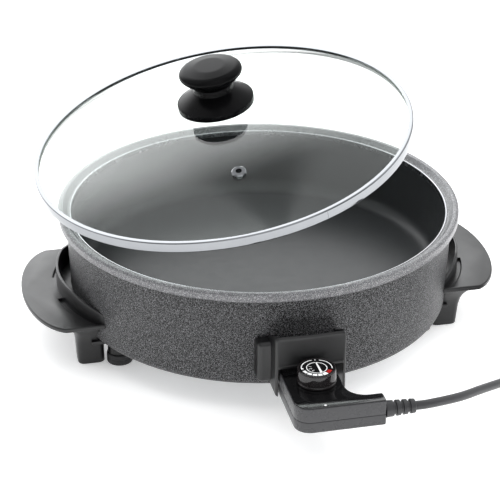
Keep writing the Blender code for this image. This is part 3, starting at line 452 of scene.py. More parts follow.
@dataclass(frozen=True)
class GraniteCoat(Finish):
    """Sprayed stone-look coat: a dark ground crowded with small pale flecks and pits.

    Args:
        fleck: colour of the pale flecks.
        fleck_mm: distance between flecks.
    """

    fleck: str = "#8c8c8f"
    fleck_mm: float = 1.5

    def paint(self, tree: bpy.types.NodeTree, shader: bpy.types.Node) -> None:
        """Scatter flecks of two sizes over the ground and raise them a little."""
        place = node(tree, "ShaderNodeTexCoord").outputs["Object"]
        coarse = node(tree, "ShaderNodeTexNoise", inputs={
            "Vector": place, "Scale": per_metre(self.fleck_mm), "Detail": 3.0, "Roughness": 0.7})
        fine = node(tree, "ShaderNodeTexNoise", inputs={
            "Vector": place, "Scale": per_metre(self.fleck_mm * 0.45), "Detail": 1.0})
        blend = node(tree, "ShaderNodeMath", {"operation": 'MULTIPLY'}, {
            0: coarse.outputs[0], 1: fine.outputs[0]})
        mask = node(tree, "ShaderNodeMapRange", inputs={
            "Value": blend.outputs[0], "From Min": 0.262, "From Max": 0.325})
        ground = node(tree, "ShaderNodeTexNoise", inputs={
            "Vector": place, "Scale": per_metre(self.mottle_mm), "Detail": 3.0})
        base = node(tree, "ShaderNodeMix", {"data_type": 'RGBA'}, {
            0: ground.outputs[0], 6: linear(self.dark), 7: linear(self.light)})
        colour = node(tree, "ShaderNodeMix", {"data_type": 'RGBA'}, {
            0: mask.outputs[0], 6: base.outputs[2], 7: linear(self.fleck)})
        gloss = node(tree, "ShaderNodeMapRange", inputs={
            "Value": fine.outputs[0], "From Min": 0.3, "From Max": 0.7, "To Min": self.gloss[0],
            "To Max": self.gloss[1]})
        bump = node(tree, "ShaderNodeBump", inputs={
            "Height": blend.outputs[0], "Strength": 0.9, "Distance": self.grain_depth_mm / 1000})
        tree.links.new(colour.outputs[2], shader.inputs["Base Color"])
        tree.links.new(gloss.outputs[0], shader.inputs["Roughness"])
        tree.links.new(bump.outputs[0], shader.inputs["Normal"])


@dataclass(frozen=True)
class ClearMoulding(Finish):
    """Clear or tinted glass or plastic, which lets the lamps through.

    Args:
        clearness: share of the light that passes into it.
    """

    clearness: float = 1.0

    def paint(self, tree: bpy.types.NodeTree, shader: bpy.types.Node) -> None:
        """Faint smears in the gloss of a clear body."""
        place = node(tree, "ShaderNodeTexCoord").outputs["Object"]
        smear = node(tree, "ShaderNodeTexNoise", inputs={
            "Vector": place, "Scale": per_metre(self.mottle_mm), "Detail": 3.0})
        gloss = node(tree, "ShaderNodeMapRange", inputs={
            "Value": smear.outputs[0], "From Min": 0.4, "From Max": 0.8, "To Min": self.gloss[0],
            "To Max": self.gloss[1]})
        tree.links.new(gloss.outputs[0], shader.inputs["Roughness"])
        shader.inputs["Base Color"].default_value = linear(self.light)
        shader.inputs["Transmission Weight"].default_value = self.clearness
        shader.inputs["IOR"].default_value = 1.5
        lamp = node(tree, "ShaderNodeLightPath")
        clear = node(tree, "ShaderNodeBsdfTransparent", inputs={"Color": linear(self.dark)})
        both = node(tree, "ShaderNodeMixShader", inputs={
            0: lamp.outputs["Is Shadow Ray"], 1: shader.outputs[0], 2: clear.outputs[0]})
        tree.links.new(both.outputs[0], tree.nodes["Material Output"].inputs["Surface"])


@dataclass(frozen=True)
class WovenStrap(Finish):
    """Woven polyester hook-and-loop strap: crossing threads a little under 1 mm apart."""

    def paint(self, tree: bpy.types.NodeTree, shader: bpy.types.Node) -> None:
        """Cross two sets of ribs for the threads."""
        place = node(tree, "ShaderNodeTexCoord").outputs["Object"]
        ribs = [node(tree, "ShaderNodeTexWave", {"bands_direction": axis}, {
            "Vector": place, "Scale": per_metre(self.grain_mm) / 6.28, "Distortion": 0.4}).outputs[1]
            for axis in ('X', 'Y')]
        weave = node(tree, "ShaderNodeMath", {"operation": 'MULTIPLY'}, {0: ribs[0], 1: ribs[1]})
        colour = node(tree, "ShaderNodeMix", {"data_type": 'RGBA'}, {
            0: weave.outputs[0], 6: linear(self.dark), 7: linear(self.light)})
        bump = node(tree, "ShaderNodeBump", inputs={
            "Height": weave.outputs[0], "Strength": 0.8, "Distance": self.grain_depth_mm / 1000})
        shader.inputs["Roughness"].default_value = self.gloss[1]
        tree.links.new(colour.outputs[2], shader.inputs["Base Color"])
        tree.links.new(bump.outputs[0], shader.inputs["Normal"])


# Cast aluminium, sprayed and baked: reads as dark stone with pale flecks.
WALL_COAT = GraniteCoat("granite-coated cast aluminium", "#0f0f10", "#060607", (0.30, 0.46), 6.0, 0.9, 0.30,
                        specular=0.22, fleck="#808082", fleck_mm=1.0)
# The same coat, thinner and rubbed down on the turned rim: paler, with a bright edge.
RIM_FILM = GraniteCoat("granite coat on the turned rim", "#5f5f61", "#4c4c4e", (0.28, 0.40), 9.0, 0.7, 0.10,
                       metallic=0.25, fleck="#9c9c9e", fleck_mm=1.2)
# Cast aluminium with a smooth non-stick film: satin grey with a soft highlight.
PAN_FILM = Finish("non-stick film on cast aluminium", "#2f3032", "#262728", (0.30, 0.38), 9.0, 0.6, 0.015,
                  specular=0.32)
# Stainless strip, rolled and polished: a nearly clean mirror.
BAND_STEEL = Finish("polished stainless steel strip", "#96989b", "#8b8d90", (0.05, 0.09), 30.0, 2.0, 0.004,
                    metallic=1.0)
# Bright metal on the bead inside the rim. It reflects as a metal, and its pale colour is also a painted highlight
# standing in for the shine of the coat on that edge.
BEAD_HIGHLIGHT_METAL = Finish("bright metal for the bead's painted highlight", "#b4b5b8", "#a6a7aa", (0.22, 0.30), 6.0, 0.5, 0.006, metallic=1.0)
# Soda-lime glass, tempered: clear with a trace of green at its edge.
DOME_GLASS = ClearMoulding("tempered soda-lime glass", "#f4faf7", "#eef3f1", (0.0, 0.02), 40.0)
# Phenolic moulding: black, satin, with a very fine texture from the mould.
BAKELITE = Finish("moulded black phenolic", "#161617", "#0e0e0f", (0.28, 0.36), 14.0, 0.7, 0.020)
# The same resin in the knob, from a polished mould.
KNOB_RESIN = Finish("satin black phenolic knob", "#0b0b0c", "#060607", (0.16, 0.22), 14.0, 0.9, 0.010,
                    specular=0.07)
# ABS moulding with a fine spark-eroded texture.
CASE_ABS = Finish("satin black ABS moulding", "#3b3b3d", "#2f2f31", (0.24, 0.32), 10.0, 0.6, 0.020)
# ABS moulded against a polished tool.
GLOSS_ABS = Finish("gloss black ABS plate", "#0b0b0c", "#070708", (0.08, 0.14), 20.0, 3.0, 0.004, coat=0.4)
# Polycarbonate with a smoke tint, injection moulded.
SMOKED_PC = ClearMoulding("smoke-tinted polycarbonate", "#2c2829", "#5c5455", (0.04, 0.10), 8.0,
                          clearness=0.55)
# Soft PVC, extruded over the cord and moulded on the plug and the relief.
CORD_PVC = Finish("extruded soft PVC sheath", "#333335", "#28282a", (0.34, 0.44), 5.0, 0.9, 0.030)
MOULDED_PVC = Finish("moulded soft PVC", "#303032", "#262628", (0.36, 0.46), 6.0, 0.8, 0.030)
FOOT_RUBBER = Finish("moulded nitrile rubber", "#2a2a2b", "#1e1e1f", (0.55, 0.70), 5.0, 0.7, 0.040)
SILICONE = Finish("moulded translucent silicone", "#cfcfcb", "#bdbdb9", (0.35, 0.48), 6.0, 0.8, 0.020)
PLATED_STEEL = Finish("zinc-plated steel", "#b9bbbd", "#9fa1a3", (0.30, 0.46), 7.0, 0.7, 0.012, metallic=1.0)
NICKEL = Finish("nickel-plated steel", "#cdc8bf", "#bbb6ad", (0.18, 0.28), 5.0, 0.6, 0.008, metallic=1.0)
BRASS = Finish("turned brass", "#d2b06a", "#b99654", (0.22, 0.34), 4.0, 0.5, 0.010, metallic=1.0)
STEATITE = Finish("pressed steatite ceramic", "#e6e1d3", "#d6d0c0", (0.50, 0.65), 4.0, 0.6, 0.030)
NEON = Finish("neon lamp glass", "#e07a45", "#c96636", (0.05, 0.12), 3.0, 1.0, 0.005, coat=0.3)
WHITE_INK = Finish("white pad print", "#ececec", "#dedede", (0.38, 0.50), 2.0, 0.4, 0.006)
RED_INK = Finish("red pad print", "#a5140f", "#920f0b", (0.38, 0.50), 2.0, 0.4, 0.006)
STRAP = WovenStrap("woven polyester strap", "#343436", "#1c1c1d", (0.7, 0.8), 3.0, 0.9, 0.12)


def dressed(piece: Piece, finish: Finish, body: Body, nodes: Sequence[str] = (),
            angle: float = 38.0) -> Piece:
    """Give a new piece its finish, its body and the nodes that it stands for.

    Args:
        piece: the new piece.
        finish: its finish.
        body: the body it rides on.
        nodes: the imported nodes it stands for.
        angle: edges sharper than this stay sharp, in degrees.

    Returns:
        The same piece.
    """
    if not piece.data.materials:
        piece.data.materials.append(finish.build())
    if piece.type == 'MESH':
        pick(piece)
        bpy.ops.object.shade_smooth_by_angle(angle=math.radians(angle))
    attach(piece, body.value)
    if nodes:
        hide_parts(*nodes)
    LOG.info("%s: %s", piece.name, finish.name)
    return piece


def redressed(finish: Finish, *nodes: str) -> None:
    """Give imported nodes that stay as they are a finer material."""
    for name in nodes:
        data = frame["nodes"][name].data
        data.materials.clear()
        data.materials.append(finish.build())
        LOG.info("%s keeps its shape: %s", name, finish.name)


# ------------------------------------------------------------------ places
def centre_of(name: str) -> Vector:
    """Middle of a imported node's box."""
    low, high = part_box(name)
    return (Vector(low) + Vector(high)) / 2


PAN_AXIS = Matrix.Translation((0, centre_of("pan_body").y, 0))
PAN_Y = centre_of("pan_body").y


# ------------------------------------------------------------------ pan
@dataclass
class Pan:
    """Cast pan with a smooth rim, its base plate, heater and feet."""

    rim_r: float = 0.1900
    rim_top: float = 0.1245
    band: float = 0.0080
    wall_top_r: float = 0.1832
    wall_foot_r: float = 0.1803
    base_z: float = 0.0267
    corner: float = 0.0085
    opening_r: float = 0.1770
    ledge_z: float = 0.1205
    floor_z: float = 0.0550
    floor_t: float = 0.0050
    inner_foot_r: float = 0.1752
    floor_corner: float = 0.0140
    skirt_in_r: float = 0.1757
    facets: int = 192

    def outside(self, clearance: float = 0.0) -> list[Place]:
        """Corners of the outer line from the lip down to the bottom, grown by a clearance."""
        low = self.rim_top - self.band
        return [
            (self.rim_r + clearance, self.rim_top - 0.0004, 0.0024),
            (self.rim_r + clearance, low - clearance, 0.0012),
            (self.wall_top_r + 0.0006 + clearance, low - 0.0006 - clearance, 0.0005),
            (self.wall_top_r + clearance, low - 0.0014 - clearance, 0.0005),
            (self.wall_foot_r + clearance, self.base_z - clearance, self.corner),
        ]

    def line(self) -> list[Point]:
        """Whole profile of the casting, from the floor's middle round to the underside."""
        inside = [
            (0.0, self.floor_z, 0.0),
            (self.inner_foot_r, self.floor_z, self.floor_corner),
            (self.opening_r, self.ledge_z - 0.0042, 0.0006),
            (self.opening_r + 0.0004, self.ledge_z + 0.0002, 0.0007),
            (self.opening_r + 0.0016, self.ledge_z + 0.0002, 0.0004),
            (self.opening_r + 0.0022, self.ledge_z - 0.0003, 0.0003),
            (self.opening_r + 0.0039, self.ledge_z - 0.0003, 0.0003),
            (self.opening_r + 0.0076, self.rim_top - 0.0002, 0.0006),
            (self.opening_r + 0.0098, self.rim_top, 0.0010),
        ]
        foot = self.skirt_in_r - self.corner + 0.0030
        skirt = [
            (foot, self.base_z, 0.0006),
            (foot, self.base_z + 0.0030, 0.0),
            (self.skirt_in_r, self.base_z + self.corner, 0.001),
            (self.skirt_in_r, self.floor_z - self.floor_t, 0.001),
            (0.0, self.floor_z - self.floor_t, 0.0),
        ]
        return softened(inside + self.outside() + skirt, steps=6)

    def build_casting(self) -> None:
        """Turn the pan, drill its front wall and give wall and rim their own coats."""
        pan = turned("pan_casting", self.line(), self.facets)
        for x in (-0.0130, 0.0, 0.0130):
            combined(pan, bar("drill", (x, -0.19, 0.0459), (x, -0.15, 0.0459), 0.0041), Join.CUT)
        pan.data.materials.append(PAN_FILM.build())
        pan.data.materials.append(WALL_COAT.build())
        pan.data.materials.append(RIM_FILM.build())
        pan.data.materials.append(BEAD_HIGHLIGHT_METAL.build())
        band_low = self.rim_top - self.band - 0.0005
        for face in pan.data.polygons:
            spot = face.center
            on_wall = math.hypot(spot.x, spot.y) > self.skirt_in_r and spot.z < band_low
            outwards = face.normal.x * spot.x + face.normal.y * spot.y > 0 or spot.z < self.base_z + self.corner
            on_rim = math.hypot(spot.x, spot.y) > self.opening_r and spot.z > band_low
            on_bead_highlight = on_rim and math.hypot(spot.x, spot.y) < self.opening_r + 0.0018
            # The bead faces get the bright metal whose pale colour is a painted highlight.
            face.material_index = 3 if on_bead_highlight else 2 if on_rim else int(on_wall and outwards)
        moved(pan, PAN_AXIS)
        dressed(pan, WALL_COAT, Body.PAN, ["pan_body"], 50.0)

    def build_feet(self) -> None:
        """Turn the four posts and their pads."""
        for side in ("left", "right"):
            for end in ("front", "back"):
                tail = "_%s_%s" % (end, side)
                spot = centre_of("foot" + tail)
                place = Matrix.Translation((spot.x, spot.y, 0))
                bore, head, top = 0.0023, 0.0045, 0.0224
                post = turned("foot_post" + tail, softened([
                    (bore, top, 0), (0.0108, top, 0.0006), (0.0112, 0.0108, 0.0008), (head, 0.0108, 0),
                    (head, 0.0145, 0), (bore, 0.0145, 0)], True), 64)
                dressed(moved(post, place), BAKELITE, Body.PAN, ["foot" + tail])
                pad = turned("pad" + tail, softened([
                    (0, 0.0105, 0), (0.0121, 0.0105, 0.0012), (0.0121, 0.0062, 0.0004), (0.0117, 0.0056, 0.0003),
                    (0.0121, 0.0050, 0.0004), (0.0121, 0, 0.0014), (0.0075, 0, 0.0004), (0.0068, 0.0008, 0.0003),
                    (0, 0.0008, 0)]), 64)
                dressed(moved(pad, place), FOOT_RUBBER, Body.PAN, ["foot_pad" + tail])

    def build(self) -> None:
        """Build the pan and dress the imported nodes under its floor."""
        self.build_casting()
        self.build_feet()
        redressed(PLATED_STEEL, "base_plate", "heating_element", "element_clip_1", "element_clip_2",
                  "element_clip_3")
        redressed(NICKEL, "terminal_pin_left", "terminal_pin_right", "guard_screw",
                  *("foot_screw_%s_%s" % (end, side) for end in ("front", "back") for side in ("left", "right")))
        redressed(STEATITE, "terminal_bush_left", "terminal_bush_right")
        redressed(BRASS, "probe_socket")


# ------------------------------------------------------------------ handles
@dataclass
class Handle:
    """Ear handle with its heat shield and two legs, moulded in one piece.

    Args:
        side: -1 for the left handle and 1 for the right one.
        word: left or right.
    """

    side: int
    word: str
    centre_x: float = 0.1890
    half_x: float = 0.0400
    half_y: float = 0.0840
    end_y: float = 0.0820
    top: float = 0.0524
    thick: float = 0.0045
    shield_x: float = 0.0800
    shield_r: float = 0.1155
    shield_t: float = 0.0026
    shield_top: float = 0.0705
    shield_end_top: float = 0.0616
    slope_y: float = 0.0440
    slot: float = 0.0038
    floor_t: float = 0.0018
    web_y: float = 0.0220
    leg_x: float = 0.1725
    leg_y: float = 0.0485

    def flip(self, points: Sequence[Point]) -> list[Point]:
        """Outline on this handle's own side of the pan."""
        return [(self.side * x, y) for x, y in points]

    def ear(self) -> Piece:
        """Flat ear: half an ellipse outside, the shield's curve inside."""
        reach = math.degrees(math.asin(self.end_y / self.half_y))
        outer = [(self.centre_x + (x - self.centre_x) * self.half_x / self.half_y, y)
                 for x, y in arc(self.centre_x, 0, self.half_y, -reach, reach, 64)]
        radius = self.shield_r + self.slot
        turn = math.degrees(math.asin((self.end_y - 0.0038) / radius))
        inner = arc(self.shield_x, 0, radius, turn, -turn, 48)
        back = self.centre_x - 0.0330
        ends_up = [(back, self.end_y), (back, self.end_y - 0.0038)]
        ends_down = [(back, -self.end_y + 0.0038), (back, -self.end_y)]
        outline = outer + ends_up + inner + ends_down
        return slab("handle_" + self.word + "_moulding", self.flip(outline), self.top - self.thick, self.top,
                    0.0014, 4)

    def shield(self) -> Piece:
        """Thin curved wall that keeps fingers off the pan."""
        reach = math.degrees(math.asin(self.end_y / self.shield_r))
        outer = arc(self.shield_x, 0, self.shield_r, -reach, reach, 64)
        inner = arc(self.shield_x, 0, self.shield_r - self.shield_t, reach, -reach, 64)
        shield = slab("shield", self.flip(outer + inner), self.top - self.thick, self.shield_top)
        for end in (-1, 1):
            outline = [(end * self.slope_y, self.shield_top + 0.00005),
                       (end * (self.end_y + 0.001), self.shield_end_top),
                       (end * (self.end_y + 0.001), 0.09), (end * self.slope_y, 0.09)]
            combined(shield, moved(slab("falling_edge", outline, -0.25, 0.25), ALONG_X), Join.CUT)
        edge_softened(shield, 0.0007, 3, 50.0)
        return shield

    def floor(self) -> Piece:
        """Thin floor under the grooves and the room beside the pan."""
        radius = self.shield_r + self.slot + 0.0010
        reach = math.degrees(math.asin(self.end_y * 0.985 / radius))
        back = (self.shield_x + 0.0650, self.end_y * 0.985)
        outline = arc(self.shield_x, 0, radius, -reach, reach, 48) + [back, (back[0], -back[1])]
        low = self.top - self.thick + 0.0002
        return slab("floor", self.flip(outline), low, low + self.floor_t - 0.0002)

    def web(self) -> Piece:
        """Bridge that joins the ear to the middle of the shield."""
        near = self.shield_r - self.shield_t / 2
        far = self.shield_r + self.slot + 0.0020
        turn = math.degrees(math.asin(self.web_y / far))
        outline = arc(self.shield_x, 0, far, -turn, turn, 24) + arc(self.shield_x, 0, near, turn, -turn, 24)
        return slab("web", self.flip(outline), self.top - self.thick + 0.0002, self.top - 0.0001)

    def leg(self, end: int) -> Piece:
        """Strut from the floor to the ear, flaring out as it rises."""
        sections = []
        for z, out, along in ((0.0, -0.0008, 0.0), (0.0008, 0.0, 0.0), (0.012, 0.0004, 0.0006),
                              (0.022, 0.0008, 0.0015), (0.030, 0.0013, 0.0034), (0.037, 0.0024, 0.0063),
                              (0.041, 0.0038, 0.0084), (0.045, 0.0060, 0.0104),
                              (self.top - 0.0030, 0.0088, 0.0125)):
            cx = self.side * (self.leg_x + max(out, 0.0))
            cy = end * (self.leg_y + along)
            half_x = 0.0125 + out * 0.5
            half_y = 0.0105 + along * 0.5 + min(out, 0.0)
            corners = [(cx + sx * half_x, cy + sy * half_y, 0.0058)
                       for sx, sy in ((1, 1), (-1, 1), (-1, -1), (1, -1))]
            sections.append([(x, y, z) for x, y in softened(corners, True, 6)])
        return lofted("leg", sections)

    def build(self) -> None:
        """Join the parts of the moulding and trim it to the pan's wall."""
        handle = self.ear()
        combined(handle, self.shield(), Join.ADD)
        combined(handle, self.web(), Join.ADD)
        combined(handle, self.floor(), Join.ADD)
        for end in (-1, 1):
            combined(handle, self.leg(end), Join.ADD)
            inner, outer = sorted((self.side * 0.1348, self.side * self.leg_x))
            low = (inner, end * 0.0575 - 0.0075, 0.0227)
            high = (outer, end * 0.0575 + 0.0075, 0.0264)
            combined(handle, block("tab", low, high, 0.0008, 2), Join.ADD)
        rings = [(0.0, 0.135, 0.0), (0.1903, 0.135, 0.0)] + Pan().outside(0.0003) + [(0.0, 0.0264, 0.0)]
        combined(handle, turned("pan_room", softened(rings), 192), Join.CUT)
        for end in (-1, 1):
            spot = (self.side * 0.1460, end * 0.0575)
            combined(handle, bar("hole", (*spot, 0.0), (*spot, 0.04), 0.0023), Join.CUT)
        moved(handle, PAN_AXIS)
        dressed(handle, BAKELITE, Body.PAN, ["handle_" + self.word], 30.0)


# ------------------------------------------------------------------ guard
@dataclass
class Guard:
    """Guard over the socket: apron, two cheeks that fall towards the pan and a screw lug."""

    half_x: float = 0.0315
    front_y: float = -0.2090
    wall: float = 0.0024
    top: float = 0.0930
    foot: float = 0.0340
    mouth_top: float = 0.0625
    slope: float = 0.55
    lug_x: float = 0.0430
    lug_front: float = -0.1905
    lug_low: float = 0.0390
    lug_high: float = 0.0790

    def shell(self) -> Piece:
        """Rounded block with a shallow dip along its top edge."""
        outline = softened([
            (-self.half_x, self.foot, 0.0030), (self.half_x, self.foot, 0.0030), (self.half_x, self.top, 0.0046),
            (0.0, self.top - 0.0008, 0.08), (-self.half_x, self.top, 0.0046)], True, 6)
        piece = slab("socket_guard", outline, 0.1500, -self.front_y, 0.0020, 4)
        return moved(piece, Matrix.Rotation(math.radians(90.0), 4, 'X'))

    def falling_edge(self) -> Piece:
        """Cutter over the cheeks: their top edges fall from the apron to the pan."""
        crest = self.front_y + 0.0040
        low = self.top - self.slope * (-0.1400 - crest)
        outline = [(crest, self.top + 0.0002), (-0.1400, low), (-0.1400, 0.12), (crest, 0.12)]
        return moved(slab("falling_edge", outline, -0.06, 0.06), ALONG_X)

    def build(self) -> None:
        """Cut the hollow and the mouth out of a rounded block and add the lug and the lip."""
        guard = self.shell()
        lug = block("lug", (-self.lug_x, self.lug_front, self.lug_low),
                    (0.006 - self.half_x, -0.15, self.lug_high), 0.0046, 6)
        combined(guard, lug, Join.ADD)
        inner = self.half_x - self.wall
        hollow = block("hollow", (-inner, self.front_y + self.wall, 0.0), (inner, -0.14, 0.12), 0.0010, 2)
        combined(guard, hollow, Join.CUT)
        combined(guard, self.falling_edge(), Join.CUT)
        lip = block("lip", (-inner, self.front_y - 0.0007, self.mouth_top - 0.0006),
                    (inner, self.front_y + self.wall - 0.0002, self.mouth_top + 0.0026), 0.0006, 3)
        mouth = block("mouth", (-inner, -0.23, -0.02), (inner, self.front_y + 0.02, self.mouth_top), 0.0016, 3)
        combined(guard, lip, Join.ADD)
        combined(guard, mouth, Join.CUT)
        rings = [(0.0, 0.135, 0.0), (0.1903, 0.135, 0.0)] + Pan().outside(0.0003) + [(0.0, 0.0264, 0.0)]
        combined(guard, turned("pan_room", softened(rings), 192), Join.CUT)
        combined(guard, bar("hole", (-0.037, -0.16, 0.043), (-0.037, -0.188, 0.043), 0.0023, 24), Join.CUT)
        edge_softened(guard, 0.0004, 2, 55.0)
        moved(guard, PAN_AXIS)
        dressed(guard, BAKELITE, Body.PAN, ["probe_guard"], 40.0)


# ------------------------------------------------------------------ cover
@dataclass
class Cover:
    """Domed glass cover with a steel band, a vent and a knob."""

    radius: float = 0.1800
    band_h: float = 0.0097
    band_t: float = 0.0008
    lip: float = 0.0036
    glass_t: float = 0.0040
    edge_top: float = 0.0082
    apex: float = 0.0456
    hole_r: float = 0.0042
    vent_r: float = 0.1086
    vent_angle: float = -97.0
    flange_r: float = 0.0358
    neck_r: float = 0.0186
    neck_top: float = 0.0215
    cap_r: float = 0.0301
    knob_top: float = 0.0406
    seat_z: float = 0.1208

    def raised(self) -> Matrix:
        """Move that carries the cover from its seat on the rim to its raised place."""
        swing = next(joint for joint in frame["joints"] if joint["name"] == "cover_swing")
        pivot = Matrix.Translation(Vector(swing["pos_m"]))
        turn = Quaternion(Vector(swing["axis"]).normalized(), math.radians(-swing["range_deg"][0]))
        seat = Matrix.Translation((0, PAN_Y, self.seat_z))
        return pivot @ turn.to_matrix().to_4x4() @ pivot.inverted() @ seat

    def ball(self) -> float:
        """Radius of the sphere that the glass follows."""
        rise = self.apex - self.edge_top
        edge = self.radius - self.band_t - self.lip
        return (edge ** 2 + rise ** 2) / (2 * rise)

    def glass_z(self, r: float) -> float:
        """Height of the top of the glass at a radius."""
        return self.apex - self.ball() + math.sqrt(self.ball() ** 2 - r ** 2)

    def build_glass(self) -> None:
        """Turn the dome and drill the holes for the vent and the knob's screw."""
        edge = self.radius - self.band_t - 0.0010
        radii = [self.hole_r + (edge - self.hole_r) * i / 18 for i in range(19)]
        line = [(r, self.glass_z(r)) for r in radii]
        line += [(r, self.glass_z(r) - self.glass_t) for r in reversed(radii)]
        glass = turned("dome_glass", line, 192)
        angle = math.radians(self.vent_angle)
        spot = Vector((self.vent_r * math.cos(angle), self.vent_r * math.sin(angle), self.glass_z(self.vent_r)))
        out = (spot - Vector((0, 0, self.apex - self.ball()))).normalized()
        combined(glass, bar("drill", spot - out * 0.02, spot + out * 0.02, 0.0047, 40), Join.CUT)
        dressed(moved(glass, self.raised()), DOME_GLASS, Body.COVER, ["cover_glass"], 30.0)

    def build_band(self) -> None:
        """Roll the band over the glass's edge and cut the hairline where its ends meet."""
        outer = self.radius
        inner = outer - self.band_t
        lip = inner - self.lip
        high, wall = self.band_h, self.band_t
        band = turned("steel_band", softened([
            (lip, high, 0.0003), (outer, high, 0.0014), (outer, 0.0, 0.0014), (lip, 0.0, 0.0003),
            (lip, wall, 0.0002), (inner, wall, 0.0004), (inner, high - wall, 0.0004), (lip, high - wall, 0.0002)],
            True, 5), 256)
        seam = block("seam", (-0.00015, -0.185, -0.01), (0.00015, -0.1797, 0.02))
        moved(seam, Matrix.Rotation(math.radians(14.0), 4, 'Z'))
        combined(band, seam, Join.CUT)
        dressed(moved(band, self.raised()), BAND_STEEL, Body.COVER, ["cover_band"], 40.0)

    def build_knob(self) -> None:
        """Turn the knob's flared base and its mushroom cap."""
        seat = self.glass_z(self.flange_r) + 0.0003
        recess = self.glass_z(0) - seat + 0.0019
        bore = 0.0025
        base = turned("knob_flange", softened([
            (bore, self.neck_top, 0), (self.neck_r - 0.0003, self.neck_top, 0.0004),
            (self.neck_r - 0.0001, 0.0158, 0.0012), (0.0199, 0.0149, 0.0012), (0.0346, 0.0062, 0.0012),
            (self.flange_r, 0.0055, 0.0008), (self.flange_r, 0.0, 0.0006),
            (self.flange_r - 0.0035, 0.0, 0.0005), (self.flange_r - 0.0060, recess, 0),
            (bore, recess, 0)], True, 6), 128)
        up = Matrix.Translation((0, 0, seat))
        dressed(moved(base, self.raised() @ up), KNOB_RESIN, Body.COVER, ["knob_base"], 45.0)
        top = self.knob_top
        cap = turned("knob_crown", softened([
            (0.0, top, 0), (0.0140, top - 0.0001, 0.02), (0.0262, top - 0.0022, 0.010),
            (self.cap_r + 0.0012, top - 0.0068, 0.0040), (0.0255, top - 0.0128, 0.008),
            (self.neck_r + 0.0002, self.neck_top + 0.0020, 0.003),
            (self.neck_r - 0.0004, self.neck_top + 0.0003, 0.0004),
            (bore, self.neck_top + 0.0003, 0), (bore, top - 0.0070, 0), (0.0, top - 0.0070, 0)], False, 8), 128)
        dressed(moved(cap, self.raised() @ up), KNOB_RESIN, Body.COVER, ["knob_cap"], 45.0)

    def build(self) -> None:
        """Build the cover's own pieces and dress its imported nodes."""
        self.build_glass()
        self.build_band()
        self.build_knob()
        redressed(BAND_STEEL, "steam_vent", "knob_washer", "knob_screw")
        redressed(SILICONE, "cover_seal", "knob_seal")


